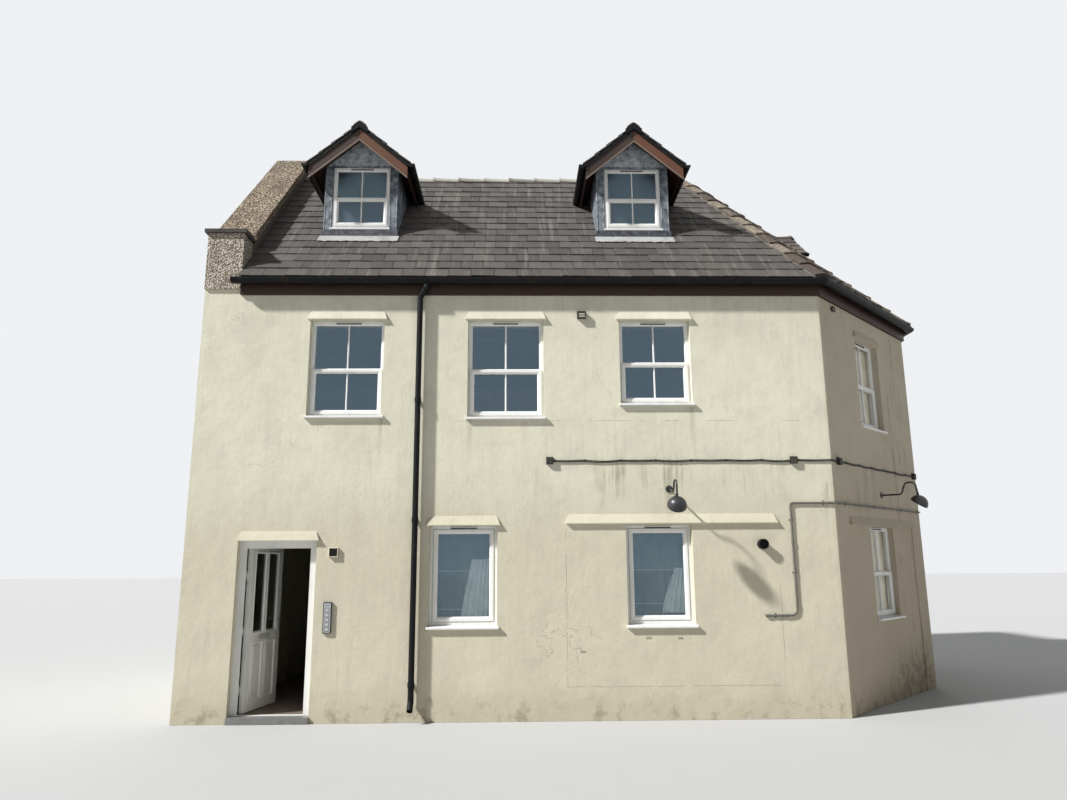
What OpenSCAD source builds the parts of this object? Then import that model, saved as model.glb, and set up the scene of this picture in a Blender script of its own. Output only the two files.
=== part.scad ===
// Rendered corner shop, two storeys and an attic, with a splayed corner.
// X runs along the front wall, Y into the building, Z up from the ground.

/* [Plan] */
// Length of the front wall, from the party wall's outer face to the splay
front_w = 8050; // [7800:50:9000]
// Length of the splayed corner wall
splay_w = 3070; // [2900:10:3400]
// Turn of the splayed wall from the line of the front wall, in degrees
splay_angle = 45; // [43:1:47]
// Span of the main range and of the rear wing, face to face, so that their ridges are level
span = 5300; // [5200:20:5500]
// Length of the side wall, from the splay to the rear gable
side_w = 4730; // [4500:10:5200]
// Thickness of the outer walls
wall_t = 400; // [340:10:420]
// Thickness of the party wall
party_t = 470; // [440:10:500]

/* [Storeys] */
// Level of the ground floor
ground_floor_z = 80; // [60:5:120]
// Level of the first floor
first_floor_z = 2900; // [2800:10:3000]
// Level of the attic floor
attic_floor_z = 5300; // [5200:10:5340]
// Thickness of the upper floors
floor_t = 200; // [150:10:250]

/* [Roof] */
// Pitch of the main roof, in degrees
roof_pitch = 45; // [44:1:46]
// Level of the tiles where they cross the outer wall face
eaves_z = 5610; // [5580:5:5660]
// Thickness of tiles and battens
tile_t = 40; // [30:5:50]
// Thickness of the whole roof, rafters and tiles
roof_t = 160; // [130:5:190]
// Run of the tiles past the wall face
eaves_over = 120; // [100:5:130]
// Run of the tiles past the rear gable
verge_over = 90; // [60:5:120]
// Leg width of a ridge or hip tile
cap_leg = 150; // [120:5:180]
// Thickness of a ridge or hip tile
cap_t = 22; // [15:1:30]
// Visible length of one hip tile
cap_gauge = 360; // [320:10:420]

/* [Parapet] */
// Height of the coping above the tiles
parapet_rise = 360; // [320:10:420]
// Thickness of the coping
coping_t = 90; // [70:5:110]
// Run of the coping past each face of the party wall
coping_over = 40; // [20:5:50]
// Level of the underside of the front pier
pier_z = 5350; // [5320:5:5380]
// Level of the top of the front pier, under its cap
pier_top_z = 6120; // [6050:10:6180]
// Thickness of the pier cap
pier_cap_t = 50; // [40:5:70]
// Depth of the front pier behind the wall face
pier_d = 300; // [260:10:340]
// How far the pier stands proud of the wall face
pier_proud = 30; // [15:5:40]

/* [Eaves] */
// Thickness of the fascia boards
fascia_t = 40; // [25:5:45]
// Level of the foot of the fascia boards
fascia_z = 5270; // [5240:5:5300]
// Height of the fascia boards
fascia_h = 230; // [200:5:240]
// Level of the gutter rim
gutter_z = 5457; // [5440:1:5470]
// Outer radius of the gutter
gutter_r = 65; // [55:1:70]
// Thickness of the gutter wall
gutter_t = 5; // [3:1:6]
// Gap between fascia and gutter, held by the brackets
gutter_gap = 20; // [15:1:24]
// Left end of the front gutter
gutter_start_x = 380; // [350:5:420]
// Largest distance between gutter brackets
bracket_step = 900; // [700:50:1200]
// Width of a gutter bracket
bracket_w = 30; // [20:1:40]
// Height of a gutter bracket
bracket_h = 40; // [30:1:45]
// Place of the downpipe along the front wall
downpipe_x = 2810; // [2700:10:2900]
// Outer radius of the downpipe
downpipe_r = 36; // [30:1:40]
// Thickness of the downpipe's wall
pipe_wall = 4; // [3:1:5]
// Gap between the downpipe and the wall
pipe_gap = 30; // [20:1:40]
// Level of the downpipe's shoe
shoe_z = 240; // [180:5:300]
// Distance from the downpipe to its outlet, along the gutter
pipe_swan = 80; // [60:5:100]
// Levels of the downpipe's clips
pipe_clips_z = [400, 2330, 3830];

/* [Windows] */
// Left edges of the first-floor front windows
upper_x = [1390, 3430, 5395];
// Widths of the first-floor front windows
upper_w = [960, 980, 925];
// Sill levels of the first-floor front windows
upper_sill_z = [3680, 3660, 3835];
// Head level of the first-floor windows
upper_head_z = 4940; // [4880:10:5000]
// Left edges of the ground-floor front windows
ground_x = [2985, 5410];
// Widths of the ground-floor front windows
ground_w = [835, 825];
// Sill level of the ground-floor windows
ground_sill_z = 1095; // [1050:5:1200]
// Head level of the ground-floor windows
ground_head_z = 2290; // [2230:5:2350]
// Width of the windows in the splay, the side and the rear
other_w = 840; // [780:10:900]
// Depth of the window reveals
reveal_d = 90; // [60:5:120]
// Depth of the window frames
frame_d = 70; // [60:5:80]
// Width of the window frame members
frame_w = 55; // [45:1:65]
// Height of the projecting sills
sill_h = 40; // [30:1:50]
// Run of the sills past the wall face
sill_over = 45; // [30:1:60]
// Share of the height below the meeting rail
lower_light = 0.48; // [0.42:0.01:0.55]
// Width of the frame that shows round the sash of a single light
single_light_in = 45; // [25:5:50]
// How far an opening sash stands proud of its frame
sash_proud = 18; // [10:1:25]
// Thickness of the glass units
glass_t = 24; // [20:1:28]
// How far the render drips over the openings stand proud
drip_proud = 40; // [30:1:60]
// Height of the render drips
drip_h = 120; // [90:5:130]
// Thickness of the drips' lower edge
drip_edge = 10; // [8:1:16]
// How far the drips' ends slope in towards their top
drip_flare = 45; // [30:5:60]
// Run of a drip past each side of its window
drip_past = 35; // [20:5:50]

/* [Shopfront] */
// Left edge of the walled-up shopfront, along the splay
shopfront_x = 440; // [400:10:480]
// Width of the walled-up shopfront
shopfront_w = 2260; // [2200:10:2300]
// Head level of the walled-up shopfront
shopfront_z = 2290; // [2260:5:2320]
// Depth of its infill behind the wall face
shopfront_in = 15; // [10:1:25]
// Left end of the drip over the old shop window, along the front wall
shop_head_x = 4670; // [4600:10:4720]
// Length of that drip
shop_head_w = 2640; // [2560:10:2700]
// Height of that drip above the ground-floor window heads
shop_head_up = 15; // [10:1:25]

/* [Door] */
// Left edge of the doorway
door_x = 650; // [620:5:700]
// Width of the doorway
door_w = 960; // [930:5:1000]
// Head level of the doorway
door_head_z = 2115; // [2080:5:2150]
// Width of the door frame members
door_member = 70; // [60:1:80]
// Thickness of the door leaf
leaf_t = 55; // [44:1:60]
// Width of the leaf's stiles
leaf_stile = 115; // [100:1:125]
// Underside of the leaf's middle rail, above the ground
mid_rail_z = 885; // [850:5:920]
// Height of the leaf's middle rail
mid_rail_h = 125; // [110:5:150]
// Width of the bar between the leaf's two lights
light_gap = 70; // [60:1:90]
// Height of the leaf's top rail
top_rail_h = 60; // [50:5:90]
// Height of the leaf's bottom rail
foot_rail_h = 125; // [110:5:160]
// Depth of the leaf's sunk panels
panel_in = 8; // [5:1:10]
// Level of the leaf's lever handles
handle_z = 1140; // [1100:10:1180]
// Run of the door step past the wall face
step_over = 30; // [20:1:45]
// Clearance between leaf and frame
leaf_gap = 8; // [8:1:10]
// Angle at which the door stands open, in degrees
door_open = 79; // [60:1:85]
// Radius of the hinge pins
pin_r = 5; // [4:0.5:6]
// Clearance between pin and knuckle
pin_gap = 0.3; // [0.2:0.1:0.5]
// Height of a hinge
hinge_h = 100; // [90:1:120]

/* [Dormers] */
// Centres of the front dormers along the front wall
front_dormer_x = [1810, 5760];
// Distance of the front dormers' faces behind the wall face
front_dormer_in = 800; // [760:10:860]
// Distance of the side dormer's face behind the wall face
side_dormer_in = 1070; // [1000:10:1100]
// Width of a dormer
dormer_w = 1055; // [1000:5:1150]
// Level of a dormer's ridge
dormer_ridge_z = 8020; // [7960:10:8080]
// Pitch of a dormer's roof, in degrees
dormer_pitch = 40; // [38:1:42]
// Half width of a dormer's roof
dormer_half = 700; // [670:5:740]
// Run of the dormer roof past the dormer's face
dormer_over = 300; // [250:10:330]
// Thickness of a dormer's roof
dormer_roof_t = 45; // [40:5:60]
// Thickness of a dormer's walls
dormer_wall_t = 90; // [70:5:110]
// Width of a dormer window
dormer_window_w = 815; // [780:5:840]
// Head level of the dormer windows
dormer_head_z = 7510; // [7480:5:7530]
// Height of a dormer window's sill above the main roof
dormer_sill_up = 165; // [150:5:200]
// Depth of the barge boards
barge_h = 130; // [110:5:150]
// Thickness of the barge boards
barge_t = 30; // [20:1:35]
// Radius of the dormer gutters
dormer_gutter_r = 50; // [40:1:55]
// Thickness of the dormers' eaves boards
dormer_board_t = 25; // [18:1:30]
// Height of the dormers' eaves boards
dormer_board_h = 100; // [80:5:120]
// Set-back of the dormer windows behind the dormer's face
dormer_set_in = 10; // [5:1:15]
// Run of the dormer sills past the dormer's face
dormer_sill_over = 35; // [25:1:45]
// Run of the lead aprons down the roof below the dormers
apron_run = 130; // [110:5:160]
// Thickness of the lead aprons
apron_t = 18; // [12:1:24]
// Run of the lead aprons past each side of a dormer
apron_past = 40; // [30:1:60]

/* [Fittings] */
// Place of the front lamp along the front wall
front_lamp_x = 5970; // [5850:10:6100]
// Place of the corner lamp along the splay
splay_lamp_x = 1600; // [1500:10:1700]
// Level of the lamps' wall plates
lamp_z = 2730; // [2700:5:2760]
// Reach of a lamp's swan neck
lamp_out = 480; // [440:5:520]
// Rise of a lamp's swan neck
lamp_up = 155; // [145:1:170]
// Radius of the swan neck's tube
neck_r = 11; // [9:1:14]
// Radius of its bends
neck_bend = 55; // [50:1:58]
// Radius of a lamp's shade
shade_r = 118; // [105:1:125]
// Thickness of a lamp's shade
shade_t = 5; // [4:1:6]
// How far the front lamp has drooped, in degrees
front_lamp_droop = 12; // [0:1:15]
// Tip of a shade towards the wall, in degrees
shade_tip = 35; // [28:1:40]
// Left end of the surface cable
cable_x = 4470; // [4430:10:4520]
// Level of the surface cable
cable_z = 3090; // [3060:5:3120]
// Radius of the surface cable
cable_r = 10; // [8:1:12]
// Width of the cable's clip boxes
cable_box = 90; // [80:1:100]
// Radius of the conduit
conduit_r = 13; // [11:1:15]
// Level of the conduit's foot
conduit_foot_z = 1190; // [1150:5:1230]
// Level of the conduit's upper run
conduit_z = 2550; // [2530:5:2580]
// Distance of the conduit's upright from the corner
conduit_back = 570; // [540:5:600]
// Length of the conduit's foot
conduit_foot = 390; // [360:5:420]
// Width of the entry panel
panel_w = 100; // [90:5:120]
// Height of the entry panel
panel_h = 365; // [340:5:390]
// Level of the entry panel's foot
panel_z = 1020; // [1000:5:1080]
// Thickness of the entry panel
panel_t = 30; // [20:1:40]
// Radius of the round flue vent
flue_r = 62; // [50:1:66]
// Length of the round flue vent outside the wall
flue_out = 90; // [80:5:120]
// Radius of the curtain wires
wire_r = 4; // [3:0.5:5]
// Thickness of a gathered curtain
curtain_t = 24; // [18:1:30]

/* [Hidden] */
$fn = 48;

render_colour = "#ded6bd";
lead_colour = "#6f757c";
tile_colour = "#5a5552";
white_colour = "#f2f1ec";
brown_colour = "#5a3a30";
black_colour = "#1c1c1e";
roughcast_colour = "#a2937c";

reach = 20000;
storey_z = first_floor_z - floor_t;

// Each face is [a, b, c]: a x + b y + c is the distance inside it.
splay_y = splay_w * sin(splay_angle);
side_x = front_w + splay_w * cos(splay_angle);
end_y = splay_y + side_w;
wing_x = side_x - span;
party = [1, 0, 0];
front = [0, 1, 0];
splay = [-sin(splay_angle), cos(splay_angle), front_w * sin(splay_angle)];
side = [-1, 0, side_x];
gable = [0, -1, end_y];
wing = [1, 0, -wing_x];
rear = [0, -1, span];

// Plan point at given distances inside two faces
function at(p, dp, q, dq) =
    let (a = p[2] - dp, b = q[2] - dq, k = p[0] * q[1] - p[1] * q[0])
    [(p[1] * b - a * q[1]) / k, (a * q[0] - p[0] * b) / k];
// Plan point at the same distance inside three faces
function meet(p, q, r) =
    let (u = p - q, v = q - r, k = u[0] * v[1] - u[1] * v[0])
    [(u[1] * v[2] - u[2] * v[1]) / k, (u[2] * v[0] - u[0] * v[2]) / k];
// Height of the tiles over a plan point, on the slope above a face
function tile_z(p, xy) = eaves_z + (p[0] * xy[0] + p[1] * xy[1] + p[2]) * tan(roof_pitch);

ridge_y = span / 2;
ridge_x = side_x - span / 2;
main_apex = meet(front, rear, splay);
wing_apex = meet(side, wing, splay);
dip = meet(rear, wing, splay);
ridge_z = eaves_z + ridge_y * tan(roof_pitch);

// Openings are [x, z, width, height], seen from outside
function row(xs, ws, sills, head) =
    [for (i = [0:len(xs) - 1]) [xs[i], sills[i], ws[i], head - sills[i]]];
upper_openings = row(upper_x, upper_w, upper_sill_z, upper_head_z);
ground_openings = row(ground_x, ground_w, [ground_sill_z, ground_sill_z], ground_head_z);
function pair(length) = [
    [(length - other_w) / 2, upper_sill_z[0], other_w, upper_head_z - upper_sill_z[0]],
    [(length - other_w) / 2, ground_sill_z, other_w, ground_head_z - ground_sill_z]];
splay_openings = pair(splay_w);
side_openings = pair(side_w);
gable_openings = pair(span);
rear_openings = pair(wing_x - party_t);
function dormer_opening(inset) =
    let (z = eaves_z + inset * tan(roof_pitch) + dormer_sill_up)
    [-dormer_window_w / 2, z, dormer_window_w, dormer_head_z - z];

// Places: each puts its children in a wall's own frame, x along it and y inward
module on_wall(p, corner) {
    translate([corner[0], corner[1], 0]) rotate([0, 0, atan2(p[1], p[0]) - 90]) children();
}
module on_front() { children(); }
module on_splay() { on_wall(splay, at(front, 0, splay, 0)) children(); }
module on_side() { on_wall(side, at(splay, 0, side, 0)) children(); }
module on_wing() { on_wall(wing, at(gable, 0, wing, 0)) children(); }
module on_gable() { on_wall(gable, at(side, 0, gable, 0)) children(); }
module on_rear() { on_wall(rear, at(wing, 0, rear, 0)) children(); }
// The three dormers, with x across the dormer and y inward from the wall face
module at_dormers() {
    for (x = front_dormer_x) translate([x, 0, 0]) {
        $inset = front_dormer_in;
        children();
    }
    on_side() translate([side_w / 2, 0, 0]) {
        $inset = side_dormer_in;
        children();
    }
}

// A slab that lies under the tiles of a slope, from depth d0 to depth d1
module leaning_slab(p, d0, d1) {
    translate([-p[2] * p[0], -p[2] * p[1], eaves_z])
        rotate([0, 0, atan2(p[1], p[0]) - 90])
            rotate([roof_pitch, 0, 0])
                translate([-reach, -reach / 2, -d1]) cube([2 * reach, reach, d1 - d0]);
}
// The same in a wall's own frame
module local_slab(d0, d1) {
    translate([0, 0, eaves_z]) rotate([roof_pitch, 0, 0])
        translate([-reach / 2, -reach / 2, -d1]) cube([reach, reach, d1 - d0]);
}
// A two-dimensional shape in x and z, run along y
module along_y(y0, y1) {
    translate([0, y1, 0]) rotate([90, 0, 0]) linear_extrude(y1 - y0) children();
}
// A two-dimensional shape in y and z, run along x
module along_x(x0, x1) {
    translate([x0, 0, 0]) rotate([90, 0, 90]) linear_extrude(x1 - x0) children();
}
// A round bar between two points
module bar(p, q, r) {
    v = q - p;
    flat = norm([v[0], v[1]]);
    translate(p) rotate([0, atan2(flat, v[2]), atan2(v[1], v[0])]) cylinder(h = norm(v), r = r);
}
// Round bars through a list of points, with a ball joint of radius k at each turn
module run(points, r, k) {
    for (i = [0:len(points) - 2]) bar(points[i], points[i + 1], r);
    for (i = [1:len(points) - 2]) translate(points[i]) sphere(r = k);
}
// A tube through points of the xy plane, with bends of radius k and tube radius r.
// Its straight lengths are sleeves that lap over the ends of the bends.
module bent_tube(points, k, r, sleeve, lap) {
    last = len(points) - 1;
    ways = [for (i = [0:last - 1]) unit(points[i + 1] - points[i])];
    turns = [for (i = [1:last - 1]) turn(ways[i - 1], ways[i])];
    trims = concat([0], [for (t = turns) k * tan(abs(t) / 2) - lap], [0]);
    for (i = [0:last - 1]) {
        start = points[i] + ways[i] * trims[i];
        translate(start) rotate([0, 0, atan2(ways[i][1], ways[i][0])]) rotate([0, 90, 0])
            cylinder(h = norm(points[i + 1] - points[i]) - trims[i] - trims[i + 1], r = r + sleeve);
    }
    for (i = [0:last - 2]) {
        inward = sign(turns[i]) * [-ways[i][1], ways[i][0]];
        from = atan2(-inward[1], -inward[0]) + min(turns[i], 0);
        translate(points[i + 1] - ways[i] * (trims[i + 1] + lap) + inward * k)
            rotate([0, 0, from]) rotate_extrude(angle = abs(turns[i])) translate([k, 0]) circle(r = r);
    }
}
function unit(v) = v / norm(v);
function turn(a, b) = atan2(a[0] * b[1] - a[1] * b[0], a[0] * b[0] + a[1] * b[1]);
// Stand the xy plane up, so that a tube's points are [y, z]
module sideways() { rotate([90, 0, 90]) children(); }

// Walls
module wall_strip(a, b, c, d, z0, z1) {
    translate([0, 0, z0]) linear_extrude(z1 - z0) polygon([a, b, c, d]);
}
module wall_holes(openings) {
    for (o = openings)
        translate([o[0], -1, o[1] - sill_h]) cube([o[2], wall_t + 2, o[3] + sill_h]);
}
// A flared render drip over an opening, with its root in a wall that is turned
module drip(x, w, z, root = 0) {
    intersection() {
        along_x(x, x + w) polygon([[root, z], [-drip_proud, z], [-drip_proud, z + drip_edge],
            [0, z + drip_h], [root, z + drip_h]]);
        along_y(-2 * drip_proud, 2 * drip_root) polygon([[x, z - 1], [x + w, z - 1], [x + w, z],
            [x + w - drip_flare, z + drip_h + 1], [x + drip_flare, z + drip_h + 1], [x, z]]);
    }
}
drip_root = 10;
module window_drips(openings, root = drip_root) {
    for (o = openings) drip(o[0] - drip_past, o[2] + 2 * drip_past, o[1] + o[3], root);
}
module roofed(p) {
    intersection() {
        children();
        leaning_slab(p, roof_t, reach / 2);
    }
}
module front_wall_left() {
    color(render_colour) cube([door_x, wall_t, storey_z]);
}
module front_wall_over_door() {
    color(render_colour) {
        translate([door_x, 0, door_head_z]) cube([door_w, wall_t, storey_z - door_head_z]);
        drip(door_x - 10, door_w + 40, door_head_z);
    }
}
module front_wall_ground() {
    door_end = door_x + door_w;
    color(render_colour) {
        difference() {
            wall_strip([door_end, 0], at(front, 0, splay, 0), at(front, wall_t, splay, wall_t),
                [door_end, wall_t], 0, storey_z);
            wall_holes(ground_openings);
        }
        window_drips([ground_openings[0]], 0);
        drip(shop_head_x, shop_head_w, ground_head_z + shop_head_up);
    }
}
module front_wall_upper() {
    color(render_colour) {
        difference() {
            roofed(front) wall_strip([0, 0], at(front, 0, splay, 0),
                at(front, wall_t, splay, wall_t), [0, wall_t], storey_z, ridge_z);
            wall_holes(upper_openings);
            translate([-1, -1, pier_z]) cube([party_t + 1, wall_t + 2, reach]);
        }
        window_drips(upper_openings, 0);
    }
}
module splay_wall() {
    color(render_colour) {
        difference() {
            roofed(splay) wall_strip(at(front, 0, splay, 0), at(splay, 0, side, 0),
                at(splay, wall_t, side, wall_t), at(front, wall_t, splay, wall_t), 0, ridge_z);
            on_splay() {
                wall_holes(splay_openings);
                translate([shopfront_x, -1, -1]) cube([shopfront_w, shopfront_in + 1, shopfront_z + 1]);
            }
        }
        on_splay() {
            window_drips([splay_openings[0]]);
            drip(shopfront_x - drip_past, shopfront_w + 2 * drip_past, shopfront_z, drip_root);
        }
    }
}
module side_wall() {
    color(render_colour) {
        difference() {
            roofed(side) wall_strip(at(splay, 0, side, 0), at(side, 0, gable, 0),
                at(side, wall_t, gable, wall_t), at(splay, wall_t, side, wall_t), 0, ridge_z);
            on_side() wall_holes(side_openings);
        }
        on_side() window_drips(side_openings);
    }
}
module rear_gable_wall() {
    color(render_colour) {
        difference() {
            roofed(wing) roofed(side) wall_strip(at(side, 0, gable, 0), at(gable, 0, wing, 0),
                at(gable, wall_t, wing, wall_t), at(side, wall_t, gable, wall_t), 0, ridge_z);
            on_gable() wall_holes(gable_openings);
        }
        on_gable() window_drips(gable_openings);
    }
}
module wing_wall() {
    color(render_colour)
        roofed(wing) wall_strip(at(gable, 0, wing, 0), at(wing, 0, rear, 0),
            at(wing, wall_t, rear, wall_t), at(gable, wall_t, wing, wall_t), 0, ridge_z);
}
module rear_wall() {
    color(render_colour) {
        difference() {
            roofed(rear) wall_strip(at(wing, 0, rear, 0), at(party, party_t, rear, 0),
                at(party, party_t, rear, wall_t), at(wing, wall_t, rear, wall_t), 0, ridge_z);
            on_rear() wall_holes(rear_openings);
        }
        on_rear() window_drips(rear_openings);
    }
}
// The party wall carries the parapet, whose top follows the roof
coping_z = eaves_z + parapet_rise;
coping_v = coping_t / cos(roof_pitch);
wall_head_z = coping_z - coping_v;
module party_wall() {
    rise = tan(roof_pitch);
    color(render_colour) along_x(0, party_t) polygon([
        [wall_t, 0], [span, 0], [span, wall_head_z],
        [ridge_y, wall_head_z + ridge_y * rise], [pier_d, wall_head_z + pier_d * rise],
        [pier_d, pier_z], [wall_t, pier_z]]);
}
module parapet_coping() {
    rise = tan(roof_pitch);
    foot = pier_d;
    color(roughcast_colour) along_x(-coping_over, party_t + coping_over) polygon([
        [foot, wall_head_z + foot * rise], [foot, coping_z + foot * rise],
        [ridge_y, coping_z + ridge_y * rise], [span, coping_z], [span, wall_head_z],
        [ridge_y, wall_head_z + ridge_y * rise]]);
}
module parapet_pier() {
    color(roughcast_colour) {
        translate([0, 0, pier_z]) cube([party_t, pier_d, pier_top_z - pier_z]);
        translate([0, -pier_proud, pier_z]) cube([party_t, pier_proud, pier_top_z - pier_z]);
    }
}
module pier_cap() {
    color("#7d776c") translate([-coping_over, -pier_proud - coping_over, pier_top_z])
        cube([party_t + 2 * coping_over, pier_d + pier_proud + coping_over, pier_cap_t]);
}

// Floors fill the rooms from wall to wall
module floor_plate(z, t) {
    color("#8d8272") translate([0, 0, z - t]) linear_extrude(t) polygon([
        at(party, party_t, front, wall_t), at(front, wall_t, splay, wall_t),
        at(splay, wall_t, side, wall_t), at(side, wall_t, gable, wall_t),
        at(gable, wall_t, wing, wall_t), at(wing, wall_t, rear, wall_t),
        at(party, party_t, rear, wall_t)]);
}
module ground_floor() {
    floor_plate(ground_floor_z, ground_floor_z);
    color("#8d8272") translate([door_x, reveal_d + frame_d, 0])
        cube([door_w, wall_t - reveal_d - frame_d, ground_floor_z]);
}
module first_floor() { floor_plate(first_floor_z, floor_t); }
module attic_floor() { floor_plate(attic_floor_z, floor_t); }

// Roof slopes: plan outlines that meet on the hips, ridges and the valley
function front_outline(e) = [at(party, party_t, front, -e), at(front, -e, splay, -e),
    main_apex, [party_t, ridge_y]];
function splay_outline(e) = [at(front, -e, splay, -e), at(splay, -e, side, -e),
    wing_apex, dip, main_apex];
function side_outline(e, v) = [at(splay, -e, side, -e), at(side, -e, gable, -v),
    [ridge_x, end_y + v], wing_apex];
function wing_outline(e, v) = [wing_apex, [ridge_x, end_y + v], at(gable, -v, wing, -e),
    at(wing, -e, rear, -e), dip];
function rear_outline(e) = [[party_t, ridge_y], main_apex, dip, at(wing, -e, rear, -e),
    at(party, party_t, rear, -e)];
module outside(p) {
    on_wall(p, [-p[2] * p[0], -p[2] * p[1]]) translate([-reach, -reach, 0])
        cube([2 * reach, reach, reach]);
}
// Rafters and tiles in one; past the given walls only the tiles run on
module slope(p, outline, walls) {
    color(tile_colour) difference() {
        intersection() {
            linear_extrude(reach) polygon(outline);
            leaning_slab(p, 0, roof_t);
        }
        for (q = walls) intersection() {
            outside(q);
            leaning_slab(p, tile_t, 2 * roof_t);
        }
    }
}
// Plan of the hole that each dormer needs in its slope
dormer_v = dormer_roof_t / cos(dormer_pitch);
module dormer_hole() {
    half = dormer_w / 2 - dormer_wall_t;
    ceiling = dormer_ridge_z - dormer_v - eaves_z;
    y0 = $inset + dormer_wall_t;
    linear_extrude(reach) polygon([[-half, y0], [half, y0],
        [half, (ceiling - half * tan(dormer_pitch)) / tan(roof_pitch)],
        [0, ceiling / tan(roof_pitch)],
        [-half, (ceiling - half * tan(dormer_pitch)) / tan(roof_pitch)]]);
}
module front_slope() {
    difference() {
        slope(front, front_outline(eaves_over), [front]);
        at_dormers() dormer_hole();
    }
}
module splay_slope() { slope(splay, splay_outline(eaves_over), [splay]); }
module side_slope() {
    difference() {
        slope(side, side_outline(eaves_over, verge_over), [side, gable]);
        at_dormers() dormer_hole();
    }
}
module wing_slope() {
    slope(wing, wing_outline(eaves_over, verge_over), [wing, gable]);
}
module rear_slope() { slope(rear, rear_outline(eaves_over), [rear]); }

// The tiled solid, raised square to its slopes by h
module tiled_solid(h) {
    intersection() {
        union() {
            intersection() {
                leaning_slab(front, -h, reach / 2);
                leaning_slab(rear, -h, reach / 2);
                leaning_slab(side, -h, reach / 2);
            }
            intersection() {
                leaning_slab(side, -h, reach / 2);
                leaning_slab(wing, -h, reach / 2);
                leaning_slab(front, -h, reach / 2);
            }
        }
        leaning_slab(splay, -h, reach / 2);
    }
}
// Plan strip between two points, as wide as the legs of a ridge tile
module strip(p, q) {
    side_step = unit([p[1] - q[1], q[0] - p[0]]) * cap_leg * cos(roof_pitch);
    polygon([p + side_step, p - side_step, q - side_step, q + side_step]);
}
module ridge_plan() {
    strip([party_t, ridge_y], main_apex);
    strip(wing_apex, [ridge_x, end_y + verge_over]);
}
module hip_plan() {
    difference() {
        union() {
            strip(at(front, -eaves_over, splay, -eaves_over), main_apex);
            strip(at(splay, -eaves_over, side, -eaves_over), wing_apex);
            strip(dip, main_apex);
            strip(dip, wing_apex);
        }
        ridge_plan();
    }
}
// Ridge and hip tiles fold over the edges of the roof
module folded_caps() {
    difference() {
        intersection() {
            tiled_solid(cap_t);
            linear_extrude(reach) children();
        }
        tiled_solid(0);
    }
}
module ridge_tiles() { color("#8a857c") folded_caps() ridge_plan(); }
module hip_tiles() { color("#7b6a5c") folded_caps() hip_plan(); }

// Eaves: a profile of distance outside the wall and height, run round the walls
module eaves_run(p, a, b) {
    intersection() {
        linear_extrude(reach) polygon([at(a[0], a[1], p, -zone), at(b[0], b[1], p, -zone),
            at(b[0], b[2], p, -nip), at(b[0], b[3], p, 0), at(a[0], a[3], p, 0),
            at(a[0], a[2], p, -nip)]);
        on_wall(p, [-p[2] * p[0], -p[2] * p[1]])
            along_x(-reach, reach) mirror([1, 0]) children();
    }
}
// A run's end is a neighbouring face with the run's distances inside it: far out, close to
// the wall and at the wall. Runs pass each other by a hair at a corner, so that they join.
zone = 300;
nip = 5;
hair = 0.5;
function stop(p, x) = [p, x, x, x];
function mitre(p) = [p, -zone - hair, -nip - hair, 0];
function inner_mitre(p) = [p, -zone + hair, -nip + hair, 0];
// Once round the eaves, from start_x on the front to end_x on the rear, broken by the rear
// gable, where both runs go past it by verge
module round_the_eaves(start_x, end_x, verge) {
    eaves_run(front, stop(party, start_x), mitre(splay)) children();
    eaves_run(splay, mitre(front), mitre(side)) children();
    eaves_run(side, mitre(splay), stop(gable, -verge)) children();
    eaves_run(wing, stop(gable, -verge), inner_mitre(rear)) children();
    eaves_run(rear, inner_mitre(wing), stop(party, end_x)) children();
}
module fascia_boards() {
    color(brown_colour) round_the_eaves(party_t, party_t, 0)
        translate([0, fascia_z]) square([fascia_t, fascia_h]);
}
gutter_back = fascia_t + gutter_gap;
gutter_front = gutter_back + 2 * gutter_r;
gutter_past = verge_over + gutter_t;
module half_disc(r) {
    difference() {
        circle(r = r);
        translate([-2 * r, 0]) square([4 * r, 2 * r]);
    }
}
module gutter_profile(r, back) {
    translate([back + r, 0]) difference() {
        half_disc(r);
        circle(r = r - gutter_t);
    }
}
// A plate that closes the open end of a gutter on face p, by face q
module stop_end(p, q, x) {
    eaves_run(p, stop(q, x), stop(q, x + gutter_t))
        translate([gutter_back + gutter_r, gutter_z]) half_disc(gutter_r - gutter_t / 2);
}
// Brackets between fascia and gutter, spread evenly from x0 to x1
module brackets(x0, x1) {
    bays = ceil((x1 - x0) / bracket_step);
    for (i = [0:bays])
        translate([x0 + i * (x1 - x0 - bracket_w) / bays, -gutter_back - gutter_t / 2,
            gutter_z - bracket_h - gutter_t])
            cube([bracket_w, gutter_gap + gutter_t / 2, bracket_h]);
}
module gutters() {
    color(black_colour) {
        round_the_eaves(gutter_start_x, party_t - gutter_t, gutter_past) translate([0, gutter_z])
            gutter_profile(gutter_r, gutter_back);
        stop_end(front, party, gutter_start_x);
        stop_end(side, gable, -gutter_past);
        stop_end(wing, gable, -gutter_past);
        stop_end(rear, party, party_t - gutter_t);
        on_front() brackets(party_t + bracket_w, front_w - bracket_w);
        on_splay() brackets(bracket_w, splay_w - bracket_w);
        on_side() brackets(bracket_w, side_w - bracket_w);
        on_wing() brackets(bracket_w, end_y - span - gutter_front);
        on_rear() brackets(gutter_front, wing_x - party_t - bracket_w);
        at_dormers() dormer_gutters();
    }
}
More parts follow.
